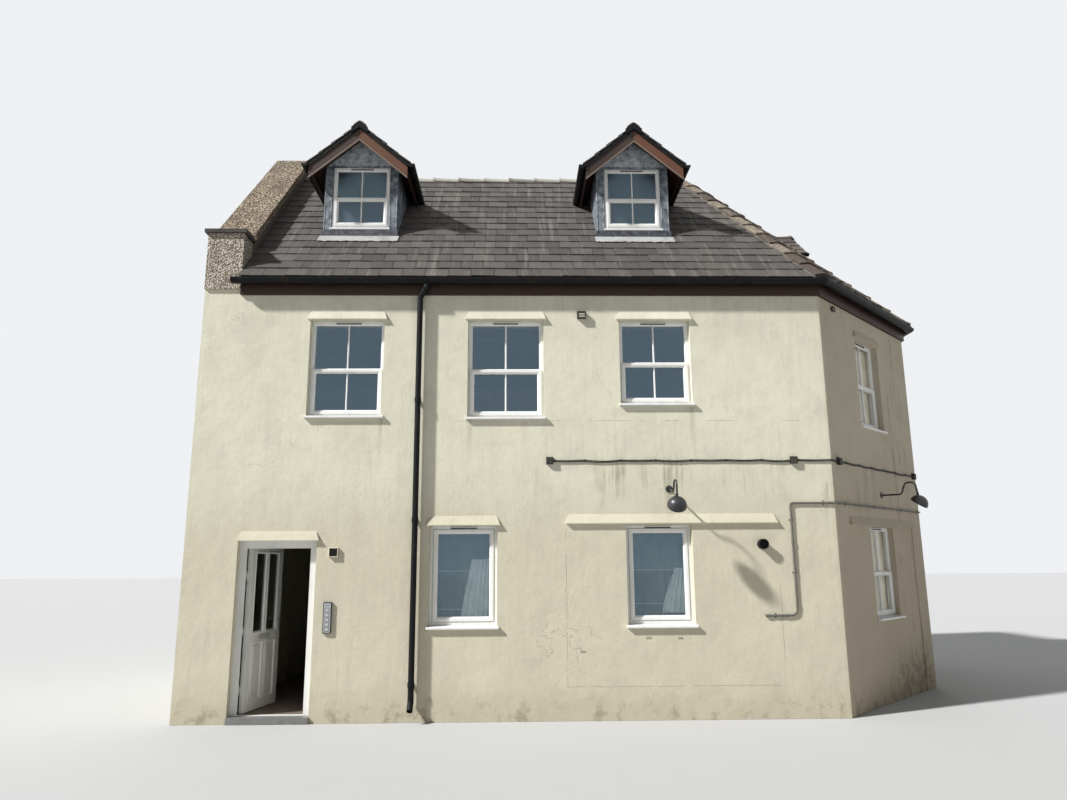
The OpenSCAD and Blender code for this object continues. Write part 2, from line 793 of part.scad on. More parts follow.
module downpipe() {
    outlet_y = -gutter_back - gutter_r;
    axis_y = -downpipe_r - pipe_gap;
    outlet_x = downpipe_x + pipe_swan;
    top = [outlet_x, outlet_y, gutter_z - gutter_r];
    knee = [outlet_x, outlet_y, fascia_z + 2 * downpipe_r];
    elbow = [downpipe_x, axis_y, fascia_z - 1.5 * downpipe_r];
    heel = [downpipe_x, axis_y, shoe_z];
    toe = [downpipe_x, axis_y - 2.2 * downpipe_r, shoe_z - 2.5 * downpipe_r];
    bore = downpipe_r - pipe_wall;
    color(black_colour) difference() {
        union() {
            run([top, knee, elbow, heel, toe], downpipe_r, downpipe_r + 2);
            for (z = pipe_clips_z) translate([downpipe_x, axis_y, z]) {
                cylinder(h = 60, r = downpipe_r + 6);
                translate([-25, 0, 10]) cube([50, -axis_y, 30]);
            }
        }
        run([top + [0, 0, 9], knee, elbow, heel, toe + [0, -8, -9]], bore, bore + 1);
    }
}

// Dormers
module dormer_profile(half, top, depth) {
    drop = half * tan(dormer_pitch);
    polygon([[-half, top - drop], [0, top], [half, top - drop],
        [half, top - drop - depth], [0, top - depth], [-half, top - drop - depth]]);
}
dormer_eaves_z = dormer_ridge_z - dormer_half * tan(dormer_pitch);
module dormer_walls() {
    under = dormer_ridge_z - dormer_v;
    half = dormer_w / 2;
    color(lead_colour) at_dormers() difference() {
        along_y($inset, ridge_y) polygon([[-half, 0], [half, 0],
            [half, under - half * tan(dormer_pitch)], [0, under],
            [-half, under - half * tan(dormer_pitch)]]);
        translate([-half + dormer_wall_t, $inset + dormer_wall_t, 0])
            cube([dormer_w - 2 * dormer_wall_t, reach, reach]);
        local_slab(0, reach / 2);
        translate([-dormer_window_w / 2, $inset - 1, dormer_opening($inset)[1] - sill_h])
            cube([dormer_window_w, dormer_wall_t + 2, dormer_opening($inset)[3] + sill_h]);
    }
}
module dormer_roofs() {
    color(tile_colour) at_dormers() difference() {
        union() {
            along_y($inset - dormer_over, ridge_y) dormer_profile(dormer_half, dormer_ridge_z, dormer_v);
            for (s = [-1, 1])
                along_y($inset - dormer_over + barge_t, ridge_y)
                    translate([s * (dormer_half - dormer_board_t / 2) - dormer_board_t / 2,
                        dormer_eaves_z - dormer_v / 2 - dormer_board_h])
                        square([dormer_board_t, dormer_board_h]);
        }
        local_slab(0, reach / 2);
    }
}
module dormer_gutters() {
    z = dormer_eaves_z - dormer_gutter_r / 2;
    start = $inset - dormer_over - bracket_w;
    end = (z - dormer_gutter_r - eaves_z) / tan(roof_pitch) + dormer_gutter_r;
    difference() {
        for (hand = [0, 1]) mirror([hand, 0, 0]) {
            translate([0, 0, z]) {
                along_y(start, end) gutter_profile(dormer_gutter_r, dormer_half + gutter_t);
                along_y(start, start + gutter_t)
                    translate([dormer_half + gutter_t + dormer_gutter_r, 0])
                        half_disc(dormer_gutter_r - gutter_t / 2);
            }
            for (y = [$inset - dormer_over / 2, end - dormer_over])
                translate([dormer_half, y, z - bracket_h]) cube([1.5 * gutter_t, bracket_w, bracket_h]);
        }
        local_slab(0, reach / 2);
    }
}
module dormer_aprons() {
    color("#b9bab6") at_dormers() intersection() {
        translate([-dormer_w / 2 - apron_past, $inset - apron_run, 0])
            cube([dormer_w + 2 * apron_past, apron_run, reach]);
        local_slab(-apron_t, 0);
    }
}
module barge_boards() {
    color(brown_colour) at_dormers()
        along_y($inset - dormer_over, $inset - dormer_over + barge_t)
            dormer_profile(dormer_half, dormer_ridge_z - dormer_v, barge_h / cos(dormer_pitch));
}

// Windows: a frame, and a sash that stands proud below the meeting rail
module ring(w, h, t, d) {
    difference() {
        cube([w, d, h]);
        translate([t, -1, t]) cube([w - 2 * t, d + 2, h - 2 * t]);
    }
}
module window_frame(o, depth, two_lights) {
    translate([o[0], depth, o[1]]) {
        ring(o[2], o[3], frame_w, frame_d);
        if (two_lights) {
            translate([0, 0, o[3] * lower_light - frame_w / 2]) cube([o[2], frame_d, frame_w]);
            translate([frame_w / 2, -sash_proud, frame_w / 2])
                ring(o[2] - frame_w, o[3] * lower_light - frame_w / 4, frame_w, frame_d + sash_proud);
        } else {
            translate([single_light_in, -sash_proud / 2, single_light_in])
                ring(o[2] - 2 * single_light_in, o[3] - 2 * single_light_in, frame_w,
                    frame_d + sash_proud / 2);
        }
    }
}
module window_sill(o, wall, out) {
    ear = sill_h / 2;
    translate([o[0], 0, o[1] - sill_h]) cube([o[2], wall, sill_h]);
    translate([o[0] - ear, -out, o[1] - sill_h]) cube([o[2] + 2 * ear, out, sill_h]);
}
module glass_panes(o, depth, two_lights) {
    t = two_lights ? frame_w * 1.5 : frame_w + single_light_in;
    y = depth + (frame_d - glass_t) / 2;
    if (two_lights) {
        mid = o[3] * lower_light;
        translate([o[0] + t, y, o[1] + t]) cube([o[2] - 2 * t, glass_t, mid - frame_w * 0.75 - t]);
        translate([o[0] + frame_w, y, o[1] + mid + frame_w / 2])
            cube([o[2] - 2 * frame_w, glass_t, o[3] - mid - 1.5 * frame_w]);
    } else {
        translate([o[0] + t, y, o[1] + t]) cube([o[2] - 2 * t, glass_t, o[3] - 2 * t]);
    }
}
module windows(openings, two_lights) {
    color(white_colour) for (o = openings) window_frame(o, reveal_d, two_lights);
}
module sills(openings) {
    color(white_colour) for (o = openings) window_sill(o, wall_t, sill_over);
}
module glazing(openings, two_lights) {
    color("#59656e") for (o = openings) glass_panes(o, reveal_d, two_lights);
}
module front_windows() {
    windows(upper_openings, true);
    windows(ground_openings, false);
}
module front_glass() {
    glazing(upper_openings, true);
    glazing(ground_openings, false);
}
module splay_windows() { on_splay() windows(splay_openings, true); }
module splay_glass() { on_splay() glazing(splay_openings, true); }
module side_windows() { on_side() windows(side_openings, true); }
module side_glass() { on_side() glazing(side_openings, true); }
module rear_windows() {
    on_gable() windows(gable_openings, true);
    on_rear() windows(rear_openings, true);
}
module rear_glass() {
    on_gable() glazing(gable_openings, true);
    on_rear() glazing(rear_openings, true);
}
module dormer_windows() {
    color(white_colour) at_dormers() translate([0, $inset, 0])
        window_frame(dormer_opening($inset), dormer_set_in, true);
}
module dormer_glass() {
    color("#59656e") at_dormers() translate([0, $inset, 0])
        glass_panes(dormer_opening($inset), dormer_set_in, true);
}
module window_sills() {
    on_front() sills(concat(upper_openings, ground_openings));
    on_splay() sills(splay_openings);
    on_side() sills(side_openings);
    on_gable() sills(gable_openings);
    on_rear() sills(rear_openings);
    color(white_colour) at_dormers() translate([0, $inset, 0])
        window_sill(dormer_opening($inset), dormer_wall_t, dormer_sill_over);
}

// Front door. The frame's inner face is at frame_back; the leaf opens inward
frame_back = reveal_d + frame_d;
leaf_back = frame_back + 5;
knuckle_r = pin_r + 4;
knuckle_h = 0.36 * hinge_h;
hinge_x = door_x + door_member - 5;
hinge_y = leaf_back + knuckle_r + 1;
leaf_x = door_x + door_member + leaf_gap;
leaf_w = door_w - 2 * door_member - 2 * leaf_gap;
leaf_z = ground_floor_z + 10;
leaf_h = door_head_z - door_member - leaf_gap - leaf_z;
hinge_zs = [for (k = [0.11, 0.46, 0.8]) leaf_z + k * leaf_h];
flag_w = 30;
flag_t = 4;
module door_frame() {
    lip = 20;
    lip_d = 15;
    clear_h = door_head_z - door_member - ground_floor_z;
    color(white_colour) {
        difference() {
            translate([door_x, reveal_d, 0]) cube([door_w, frame_d, door_head_z]);
            translate([door_x + door_member, reveal_d - 1, ground_floor_z])
                cube([door_w - 2 * door_member, frame_d + 2, clear_h]);
        }
        difference() {
            translate([door_x + door_member, reveal_d, ground_floor_z])
                cube([door_w - 2 * door_member, lip_d, clear_h]);
            translate([door_x + door_member + lip, reveal_d - 1, ground_floor_z - 1])
                cube([door_w - 2 * door_member - 2 * lip, lip_d + 2, clear_h - lip + 1]);
        }
        translate([door_x, -step_over, 0]) cube([door_w, reveal_d + step_over, ground_floor_z - 5]);
        for (z = hinge_zs) translate([hinge_x, hinge_y, z]) frame_hinge();
    }
}
// The frame's half of a hinge: two barrels on a flag, with the pin through them
module frame_hinge() {
    barrel = (hinge_h - knuckle_h) / 2 - 0.5;
    cylinder(h = hinge_h, r = pin_r);
    for (z = [0, hinge_h - barrel]) translate([0, 0, z]) {
        cylinder(h = barrel, r = knuckle_r);
        translate([-flag_w, frame_back - hinge_y, 0])
            cube([flag_w - knuckle_r + 1, hinge_y - frame_back, barrel]);
        translate([-flag_w, -flag_t, 0]) cube([flag_w, flag_t, barrel]);
    }
}
// The leaf's half: one knuckle that turns on the pin
module leaf_hinge() {
    z0 = (hinge_h - knuckle_h) / 2;
    translate([0, 0, z0]) difference() {
        union() {
            cylinder(h = knuckle_h, r = knuckle_r);
            translate([0, leaf_back - hinge_y, 0])
                cube([1.6 * flag_w, hinge_y - leaf_back, knuckle_h]);
        }
        translate([0, 0, -1]) cylinder(h = knuckle_h + 2, r = pin_r + pin_gap);
    }
}
module open_door() {
    translate([hinge_x, hinge_y, 0]) rotate([0, 0, door_open]) translate([-hinge_x, -hinge_y, 0])
        children();
}
light_w = (leaf_w - 2 * leaf_stile - light_gap) / 2;
module leaf_lights(y, t) {
    for (i = [0, 1])
        translate([leaf_x + leaf_stile + i * (light_w + light_gap), y, mid_rail_z + mid_rail_h])
            cube([light_w, t, leaf_z + leaf_h - top_rail_h - mid_rail_z - mid_rail_h]);
}
module door_leaf() {
    front_y = leaf_back - leaf_t;
    color(white_colour) open_door() {
        difference() {
            translate([leaf_x, front_y, leaf_z]) cube([leaf_w, leaf_t, leaf_h]);
            leaf_lights(front_y - 1, leaf_t + 2);
            for (i = [0, 1], y = [front_y - 1, leaf_back - panel_in])
                translate([leaf_x + leaf_stile + i * (light_w + light_gap), y, leaf_z + foot_rail_h])
                    cube([light_w, panel_in + 1, mid_rail_z - leaf_z - foot_rail_h]);
        }
        for (z = hinge_zs) translate([hinge_x, hinge_y, z]) leaf_hinge();
    }
}
module door_glass() {
    color("#59656e") open_door() leaf_lights(leaf_back - leaf_t / 2 - glass_t / 2, glass_t);
}
// A lever handle on its plate, standing out along -y
module lever_handle() {
    translate([-15, -plate_t, -150]) cube([30, plate_t, 220]);
    rotate([90, 0, 0]) cylinder(h = lever_out, r = 9);
    translate([-110, -lever_out - 10, -10]) cube([120, 20, 20]);
}
plate_t = 8;
lever_out = 40;
letter_plate = [280, plate_t, 60];
module door_furniture() {
    front_y = leaf_back - leaf_t;
    handle = [leaf_x + leaf_w - leaf_stile / 2, 0, handle_z];
    color("#c9cacc") open_door() {
        translate([leaf_x + (leaf_w - letter_plate[0]) / 2, front_y - plate_t,
            mid_rail_z + (mid_rail_h - letter_plate[2]) / 2]) cube(letter_plate);
        translate(handle + [0, front_y, 0]) lever_handle();
        translate(handle + [0, leaf_back, 0]) mirror([0, 1, 0]) lever_handle();
    }
}

// Fittings on the walls
// A lamp on a swan neck, whose shade tips back to light the wall
module swan_lamp(droop = 0) {
    foot = -0.56 * lamp_out;
    crest = -0.68 * lamp_out;
    fall = -0.95 * lamp_out;
    centre_z = -shade_r - collar_h;
    translate([0, -plate_t - 4, 0]) rotate([-90, 0, 0]) cylinder(h = plate_t + 4, r = 4 * neck_r);
    translate([0, -plate_t / 2, 0]) rotate([droop, 0, 0]) {
        sideways() bent_tube([[0, 0], [foot, 0], [crest, lamp_up], [fall, lamp_up], [-lamp_out, 0]],
            neck_bend, neck_r, 1, 4);
        translate([0, -lamp_out, 0]) sphere(r = 1.6 * neck_r);
        translate([0, -lamp_out, -collar_h - 0.9 * shade_t])
            cylinder(h = collar_h + 0.9 * shade_t, r = neck_r + 5);
        translate([0, -lamp_out, centre_z]) rotate([shade_tip, 0, 0]) difference() {
            sphere(r = shade_r);
            sphere(r = shade_r - shade_t);
            translate([-2 * shade_r, -2 * shade_r, -4 * shade_r]) cube(4 * shade_r);
        }
    }
}
collar_h = 22;
module wall_lamps() {
    color(black_colour) {
        on_front() translate([front_lamp_x, 0, lamp_z]) swan_lamp(front_lamp_droop);
        on_splay() translate([splay_lamp_x, 0, lamp_z]) swan_lamp();
    }
}
// Cable and conduit run a little off the wall, on clip boxes and saddles
cable_off = 3;
module clip_box(x) {
    translate([x, -cable_box / 2, cable_z - cable_box / 2]) cube([cable_box, cable_box / 2, cable_box]);
}
module surface_cable() {
    y = -cable_r - cable_off;
    color("#4f5450") {
        run([for (q = [[cable_x, y], at(front, y, splay, y), at(splay, y, side, 0)])
            [q[0], q[1], cable_z]], cable_r, cable_r + 2);
        for (x = [cable_x - 40, front_w - 530]) clip_box(x);
        on_splay() for (x = [160, splay_w - 170]) clip_box(x);
    }
}
module saddle(x, z) {
    translate([x - 15, -conduit_r - cable_off, z - 20]) cube([30, conduit_r + cable_off, 40]);
}
module conduit() {
    y = -conduit_r - cable_off;
    upright_x = front_w - conduit_back;
    foot_x = upright_x - conduit_foot;
    corner = at(front, y, splay, y);
    end = at(splay, y, side, 0);
    color("#8f9a93") {
        run([[foot_x, y, conduit_foot_z], [upright_x, y, conduit_foot_z], [upright_x, y, conduit_z],
            [corner[0], corner[1], conduit_z], [end[0], end[1], conduit_z]], conduit_r, conduit_r + 2);
        saddle(foot_x + 30, conduit_foot_z);
        for (k = [0.38, 0.85]) saddle(upright_x, conduit_foot_z + k * (conduit_z - conduit_foot_z));
        saddle(front_w - 150, conduit_z);
        on_splay() for (k = [0.1, 0.42, 0.75, 0.96]) saddle(k * splay_w, conduit_z);
    }
}
// The entry panel and a small vent stand beside the door
beside_door = door_x + door_w + 120;
module entry_panel() {
    color("#b7b9ba") translate([beside_door, -panel_t, panel_z]) cube([panel_w, panel_t, panel_h]);
}
small_vent = [115, 35, 115];
vent_box = [115, 60, 95];
flue_back = 950;
flue_z = 2046;
module wall_vents() {
    color("#8a8578") {
        translate([beside_door + 35, -small_vent[1], door_head_z - 200]) cube(small_vent);
        translate([upper_x[1] + upper_w[1] + 440, -vent_box[1], upper_head_z + 10]) cube(vent_box);
        translate([front_w - flue_back, 0, flue_z]) rotate([90, 0, 0]) cylinder(h = flue_out, r = flue_r);
    }
}
// Net curtains on a wire across the opening; from and to are shares of its width
wire_y = frame_back + 45;
wire_down = 40;
module curtain(o, from, to) {
    z = o[1] + o[3] - wire_down;
    translate([o[0], wire_y, z]) rotate([0, 90, 0]) cylinder(h = o[2], r = wire_r);
    translate([o[0] + from * o[2], wire_y - curtain_t / 2, o[1] + 20])
        cube([(to - from) * o[2], curtain_t, z + curtain_t / 2 - o[1] - 20]);
}
module net_curtains() {
    color("#d9ddd6") {
        for (o = ground_openings) curtain(o, 0.03, 0.97);
        on_splay() for (o = splay_openings) curtain(o, 0.02, 0.75);
    }
}

front_wall_left();
front_wall_over_door();
front_wall_ground();
front_wall_upper();
splay_wall();
side_wall();
rear_gable_wall();
wing_wall();
rear_wall();
party_wall();
parapet_coping();
parapet_pier();
pier_cap();
ground_floor();
first_floor();
attic_floor();
front_slope();
splay_slope();
side_slope();
wing_slope();
rear_slope();
ridge_tiles();
hip_tiles();
fascia_boards();
gutters();
downpipe();
dormer_walls();
dormer_roofs();
dormer_aprons();
barge_boards();
front_windows();
front_glass();
splay_windows();
splay_glass();
side_windows();
side_glass();
rear_windows();
rear_glass();
dormer_windows();
dormer_glass();
window_sills();
door_frame();
door_leaf();
door_glass();
door_furniture();
wall_lamps();
surface_cable();
conduit();
entry_panel();
wall_vents();
net_curtains();
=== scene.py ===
"""The corner shop building, dressed for its portrait.

A rendered house of two storeys and an attic, with a splayed corner, a hipped roof of plain tiles and
three gabled dormers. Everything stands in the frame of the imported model, in metres: X runs along the
front wall, Y into the building and Z up from the ground.
"""
from __future__ import annotations

import logging
import math
import random
from dataclasses import dataclass, field
from enum import Enum
from typing import ClassVar, Dict, Iterable, List, Optional, Sequence, Tuple

import bmesh
import bpy
from mathutils import Matrix, Vector

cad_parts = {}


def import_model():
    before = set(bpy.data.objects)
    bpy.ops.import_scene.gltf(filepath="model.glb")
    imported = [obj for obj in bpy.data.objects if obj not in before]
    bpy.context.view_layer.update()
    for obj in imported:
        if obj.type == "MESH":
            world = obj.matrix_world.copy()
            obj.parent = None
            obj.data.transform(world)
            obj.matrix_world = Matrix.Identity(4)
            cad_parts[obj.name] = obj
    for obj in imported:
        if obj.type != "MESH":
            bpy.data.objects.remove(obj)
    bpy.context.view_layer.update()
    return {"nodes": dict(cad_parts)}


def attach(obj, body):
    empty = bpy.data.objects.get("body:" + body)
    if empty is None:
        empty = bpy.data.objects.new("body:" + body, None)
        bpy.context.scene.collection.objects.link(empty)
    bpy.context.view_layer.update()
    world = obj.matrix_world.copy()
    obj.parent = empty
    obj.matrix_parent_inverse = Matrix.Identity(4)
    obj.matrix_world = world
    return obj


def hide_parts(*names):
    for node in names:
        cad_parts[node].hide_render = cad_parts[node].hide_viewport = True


LOG = logging.getLogger("corner_shop")
Colour = Tuple[float, float, float]
Point2 = Tuple[float, float]
Point3 = Tuple[float, float, float]
Point4 = Tuple[float, float, float, float]
Outline = Tuple[Point2, ...]
Socket = bpy.types.NodeSocket
LEAST_R = 0.0001


def toned(colour: Colour, factor: float) -> Colour:
    """Gives a colour made darker or lighter by a factor."""
    return tuple(min(1.0, factor * c) for c in colour)


def shift(x: float = 0.0, y: float = 0.0, z: float = 0.0) -> Matrix:
    """Gives the matrix of a move."""
    return Matrix.Translation((x, y, z))


def spin(degrees: float, axis: str) -> Matrix:
    """Gives the matrix of a turn about an axis."""
    return Matrix.Rotation(math.radians(degrees), 4, axis)


class Body(Enum):
    """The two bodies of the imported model."""

    BUILDING = "building"
    DOOR = "front_door"


class Axis(Enum):
    """The axis that a prism runs along."""

    X = 0
    Y = 1
    Z = 2


class Recipe:
    """A material being mixed, with short calls that add and wire its shader nodes."""

    def __init__(self, name: str) -> None:
        """Starts a material with one shader.

        Args:
            name: The material's name.
        """
        self.material = bpy.data.materials.new(name)
        self.material.use_nodes = True
        self.tree = self.material.node_tree
        self.tree.nodes.clear()
        self.output = self.add("ShaderNodeOutputMaterial")
        self.shader = self.add("ShaderNodeBsdfPrincipled")
        self.join(self.shader.outputs["BSDF"], self.output.inputs["Surface"])
        self.place = self.add("ShaderNodeTexCoord").outputs["Object"]

    def add(self, kind: str, **settings: object) -> bpy.types.Node:
        """Adds a node.

        Args:
            kind: Blender's name for the node.
            settings: Properties of the node to set.

        Returns:
            The node.
        """
        node = self.tree.nodes.new(kind)
        for key, value in settings.items():
            setattr(node, key, value)
        return node

    def join(self, source: object, target: Socket) -> None:
        """Feeds an input from a socket, or sets it to a number or colour.

        Args:
            source: A socket, a number or a colour.
            target: The input.
        """
        if isinstance(source, Socket):
            self.tree.links.new(source, target)
        elif isinstance(source, tuple) and len(source) == 3 and target.type == "RGBA":
            target.default_value = (*source, 1.0)
        else:
            target.default_value = source

    def set(self, **values: object) -> None:
        """Sets or feeds the shader's inputs, by name with an underscore for each space."""
        for key, value in values.items():
            self.join(value, self.shader.inputs[key.replace("_", " ")])

    def stretched(self, scale: Point3, turn: float = 0.0) -> Socket:
        """Gives the object's coordinates, turned about z and then scaled along each axis.

        Args:
            scale: The scale along X, Y and Z.
            turn: The turn in degrees of the axes that are scaled.

        Returns:
            The vector socket.
        """
        mapping = self.add("ShaderNodeMapping", vector_type="TEXTURE")
        self.join(self.place, mapping.inputs["Vector"])
        mapping.inputs["Rotation"].default_value = (0.0, 0.0, math.radians(turn))
        mapping.inputs["Scale"].default_value = tuple(1.0 / s for s in scale)
        return mapping.outputs["Vector"]

    def noise(self, scale: float, detail: float = 4.0, rough: float = 0.55,
              along: Optional[Socket] = None, output: str = "Fac") -> Socket:
        """Adds a noise.

        Args:
            scale: Its scale, in waves a metre.
            detail: Its octaves.
            rough: The weight of the finer octaves.
            along: The coordinates, where they aren't the object's own.
            output: The output wanted.

        Returns:
            The noise, about 0.5 on average.
        """
        node = self.add("ShaderNodeTexNoise")
        self.join(self.place if along is None else along, node.inputs["Vector"])
        for key, value in (("Scale", scale), ("Detail", detail), ("Roughness", rough)):
            node.inputs[key].default_value = value
        return node.outputs[output]

    def streaks(self, scale: Point3, detail: float, rough: float, turn: float = 0.0) -> Socket:
        """Adds a noise with its own scale along each axis, turned about z by some degrees."""
        return self.noise(1.0, detail, rough, self.stretched(scale, turn))

    def cells(self, scale: float, output: str = "Distance", feature: str = "F1",
              along: Optional[Socket] = None) -> Socket:
        """Adds a pattern of cells.

        Args:
            scale: Its scale, in cells a metre.
            output: The output wanted.
            feature: The feature that the pattern measures.
            along: The coordinates, where they aren't the object's own.

        Returns:
            The output.
        """
        node = self.add("ShaderNodeTexVoronoi", feature=feature)
        self.join(self.place if along is None else along, node.inputs["Vector"])
        node.inputs["Scale"].default_value = scale
        return node.outputs[output]

    def calc(self, kind: str, *values: object) -> Socket:
        """Adds the math nodes of a sum.

        Args:
            kind: The operation.
            values: Its one value, or two or more that it takes in turn.

        Returns:
            The result.
        """
        result = values[0]
        for others in [(value,) for value in values[1:]] or [()]:
            node = self.add("ShaderNodeMath", operation=kind)
            for value, socket in zip((result, *others), node.inputs):
                self.join(value, socket)
            result = node.outputs[0]
        return result

    def product(self, *values: object) -> object:
        """Multiplies the values, of which there may be only one."""
        return self.calc("MULTIPLY", *values) if len(values) > 1 else values[0]

    def away(self, value: object, at: object) -> Socket:
        """Gives how far a value is from another."""
        return self.calc("ABSOLUTE", self.calc("SUBTRACT", value, at))

    def fade(self, value: object, start: float, end: float) -> Socket:
        """Turns a value into a smooth share.

        Args:
            value: The value.
            start: Where the share is 0.
            end: Where the share is 1.

        Returns:
            The share, held between 0 and 1.
        """
        node = self.add("ShaderNodeMapRange", interpolation_type="SMOOTHSTEP")
        self.join(value, node.inputs["Value"])
        node.inputs["From Min"].default_value = start
        node.inputs["From Max"].default_value = end
        return node.outputs["Result"]

    def axes(self) -> Tuple[Socket, ...]:
        """Gives the object's x, y and z as three sockets."""
        node = self.add("ShaderNodeSeparateXYZ")
        self.join(self.place, node.inputs["Vector"])
        return tuple(node.outputs)

    def blend(self, share: object, first: object, second: object) -> Socket:
        """Mixes two colours.

        Args:
            share: How much of the second shows.
            first: The first colour.
            second: The second colour.

        Returns:
            The mixed colour.
        """
        node = self.add("ShaderNodeMix", data_type="RGBA")
        self.join(share, node.inputs[0])
        self.join(first, node.inputs[6])
        self.join(second, node.inputs[7])
        return node.outputs[2]

    def share(self, *spans: object) -> object:
        """Multiplies spans: each a share, or a value with where its smooth share is 0 and where it is 1."""
        return self.product(*(self.fade(*s) if isinstance(s, tuple) else s for s in spans))

    def coats(self, coat: object, *layers: Sequence[object]) -> object:
        """Lays thin coats of other colours over a coat, one after the other.

        Args:
            coat: The coat so far.
            layers: How well each new colour covers, the colour, and the spans of where it lies.

        Returns:
            The last coat.
        """
        for strength, colour, *spans in layers:
            coat = self.blend(self.product(self.share(*spans), strength), coat, colour)
        return coat

    def shades(self, value: object, *stops: Tuple[float, Colour]) -> Socket:
        """Picks a colour from a row of shades.

        Args:
            value: Where along the row to look.
            stops: Each place and its colour.

        Returns:
            The colour.
        """
        node = self.add("ShaderNodeValToRGB")
        self.join(value, node.inputs["Fac"])
        elements = node.color_ramp.elements
        while len(elements) < len(stops):
            elements.new(0.5)
        for element, (place, colour) in zip(elements, stops):
            element.position = place
            element.color = (*colour, 1.0)
        return node.outputs["Color"]

    def bumps(self, *layers: Tuple[object, float]) -> None:
        """Raises the surface by heights in metres, one layer on the other.

        Args:
            layers: Each height from 0 to 1, and how far it rises.
        """
        normal = None
        for height, rise in layers:
            node = self.add("ShaderNodeBump")
            self.join(height, node.inputs["Height"])
            node.inputs["Distance"].default_value = rise
            node.inputs["Strength"].default_value = 1.0
            if normal is not None:
                self.join(normal, node.inputs["Normal"])
            normal = node.outputs["Normal"]
        self.set(Normal=normal)


@dataclass(frozen=True)
class Finish:
    """What a surface is made of. Each kind of finish mixes its own material once."""

    name: str
    colour: Colour
    roughness: float = 0.6
    made: ClassVar[Dict[str, bpy.types.Material]] = {}

    def material(self) -> bpy.types.Material:
        """Gives the finish's material, mixed when it is first asked for."""
        if self.name not in self.made:
            recipe = Recipe(self.name)
            recipe.set(Roughness=self.roughness)
            self.mix(recipe)
            self.made[self.name] = recipe.material
        return self.made[self.name]

    def mix(self, recipe: Recipe) -> None:
        """Mixes the colour and the surface of the material."""
        raise NotImplementedError

    def dress(self, obj: bpy.types.Object) -> None:
        """Gives every material slot of an object this finish."""
        if not obj.data.materials:
            obj.data.materials.append(self.material())
        for slot in obj.material_slots:
            slot.material = self.material()


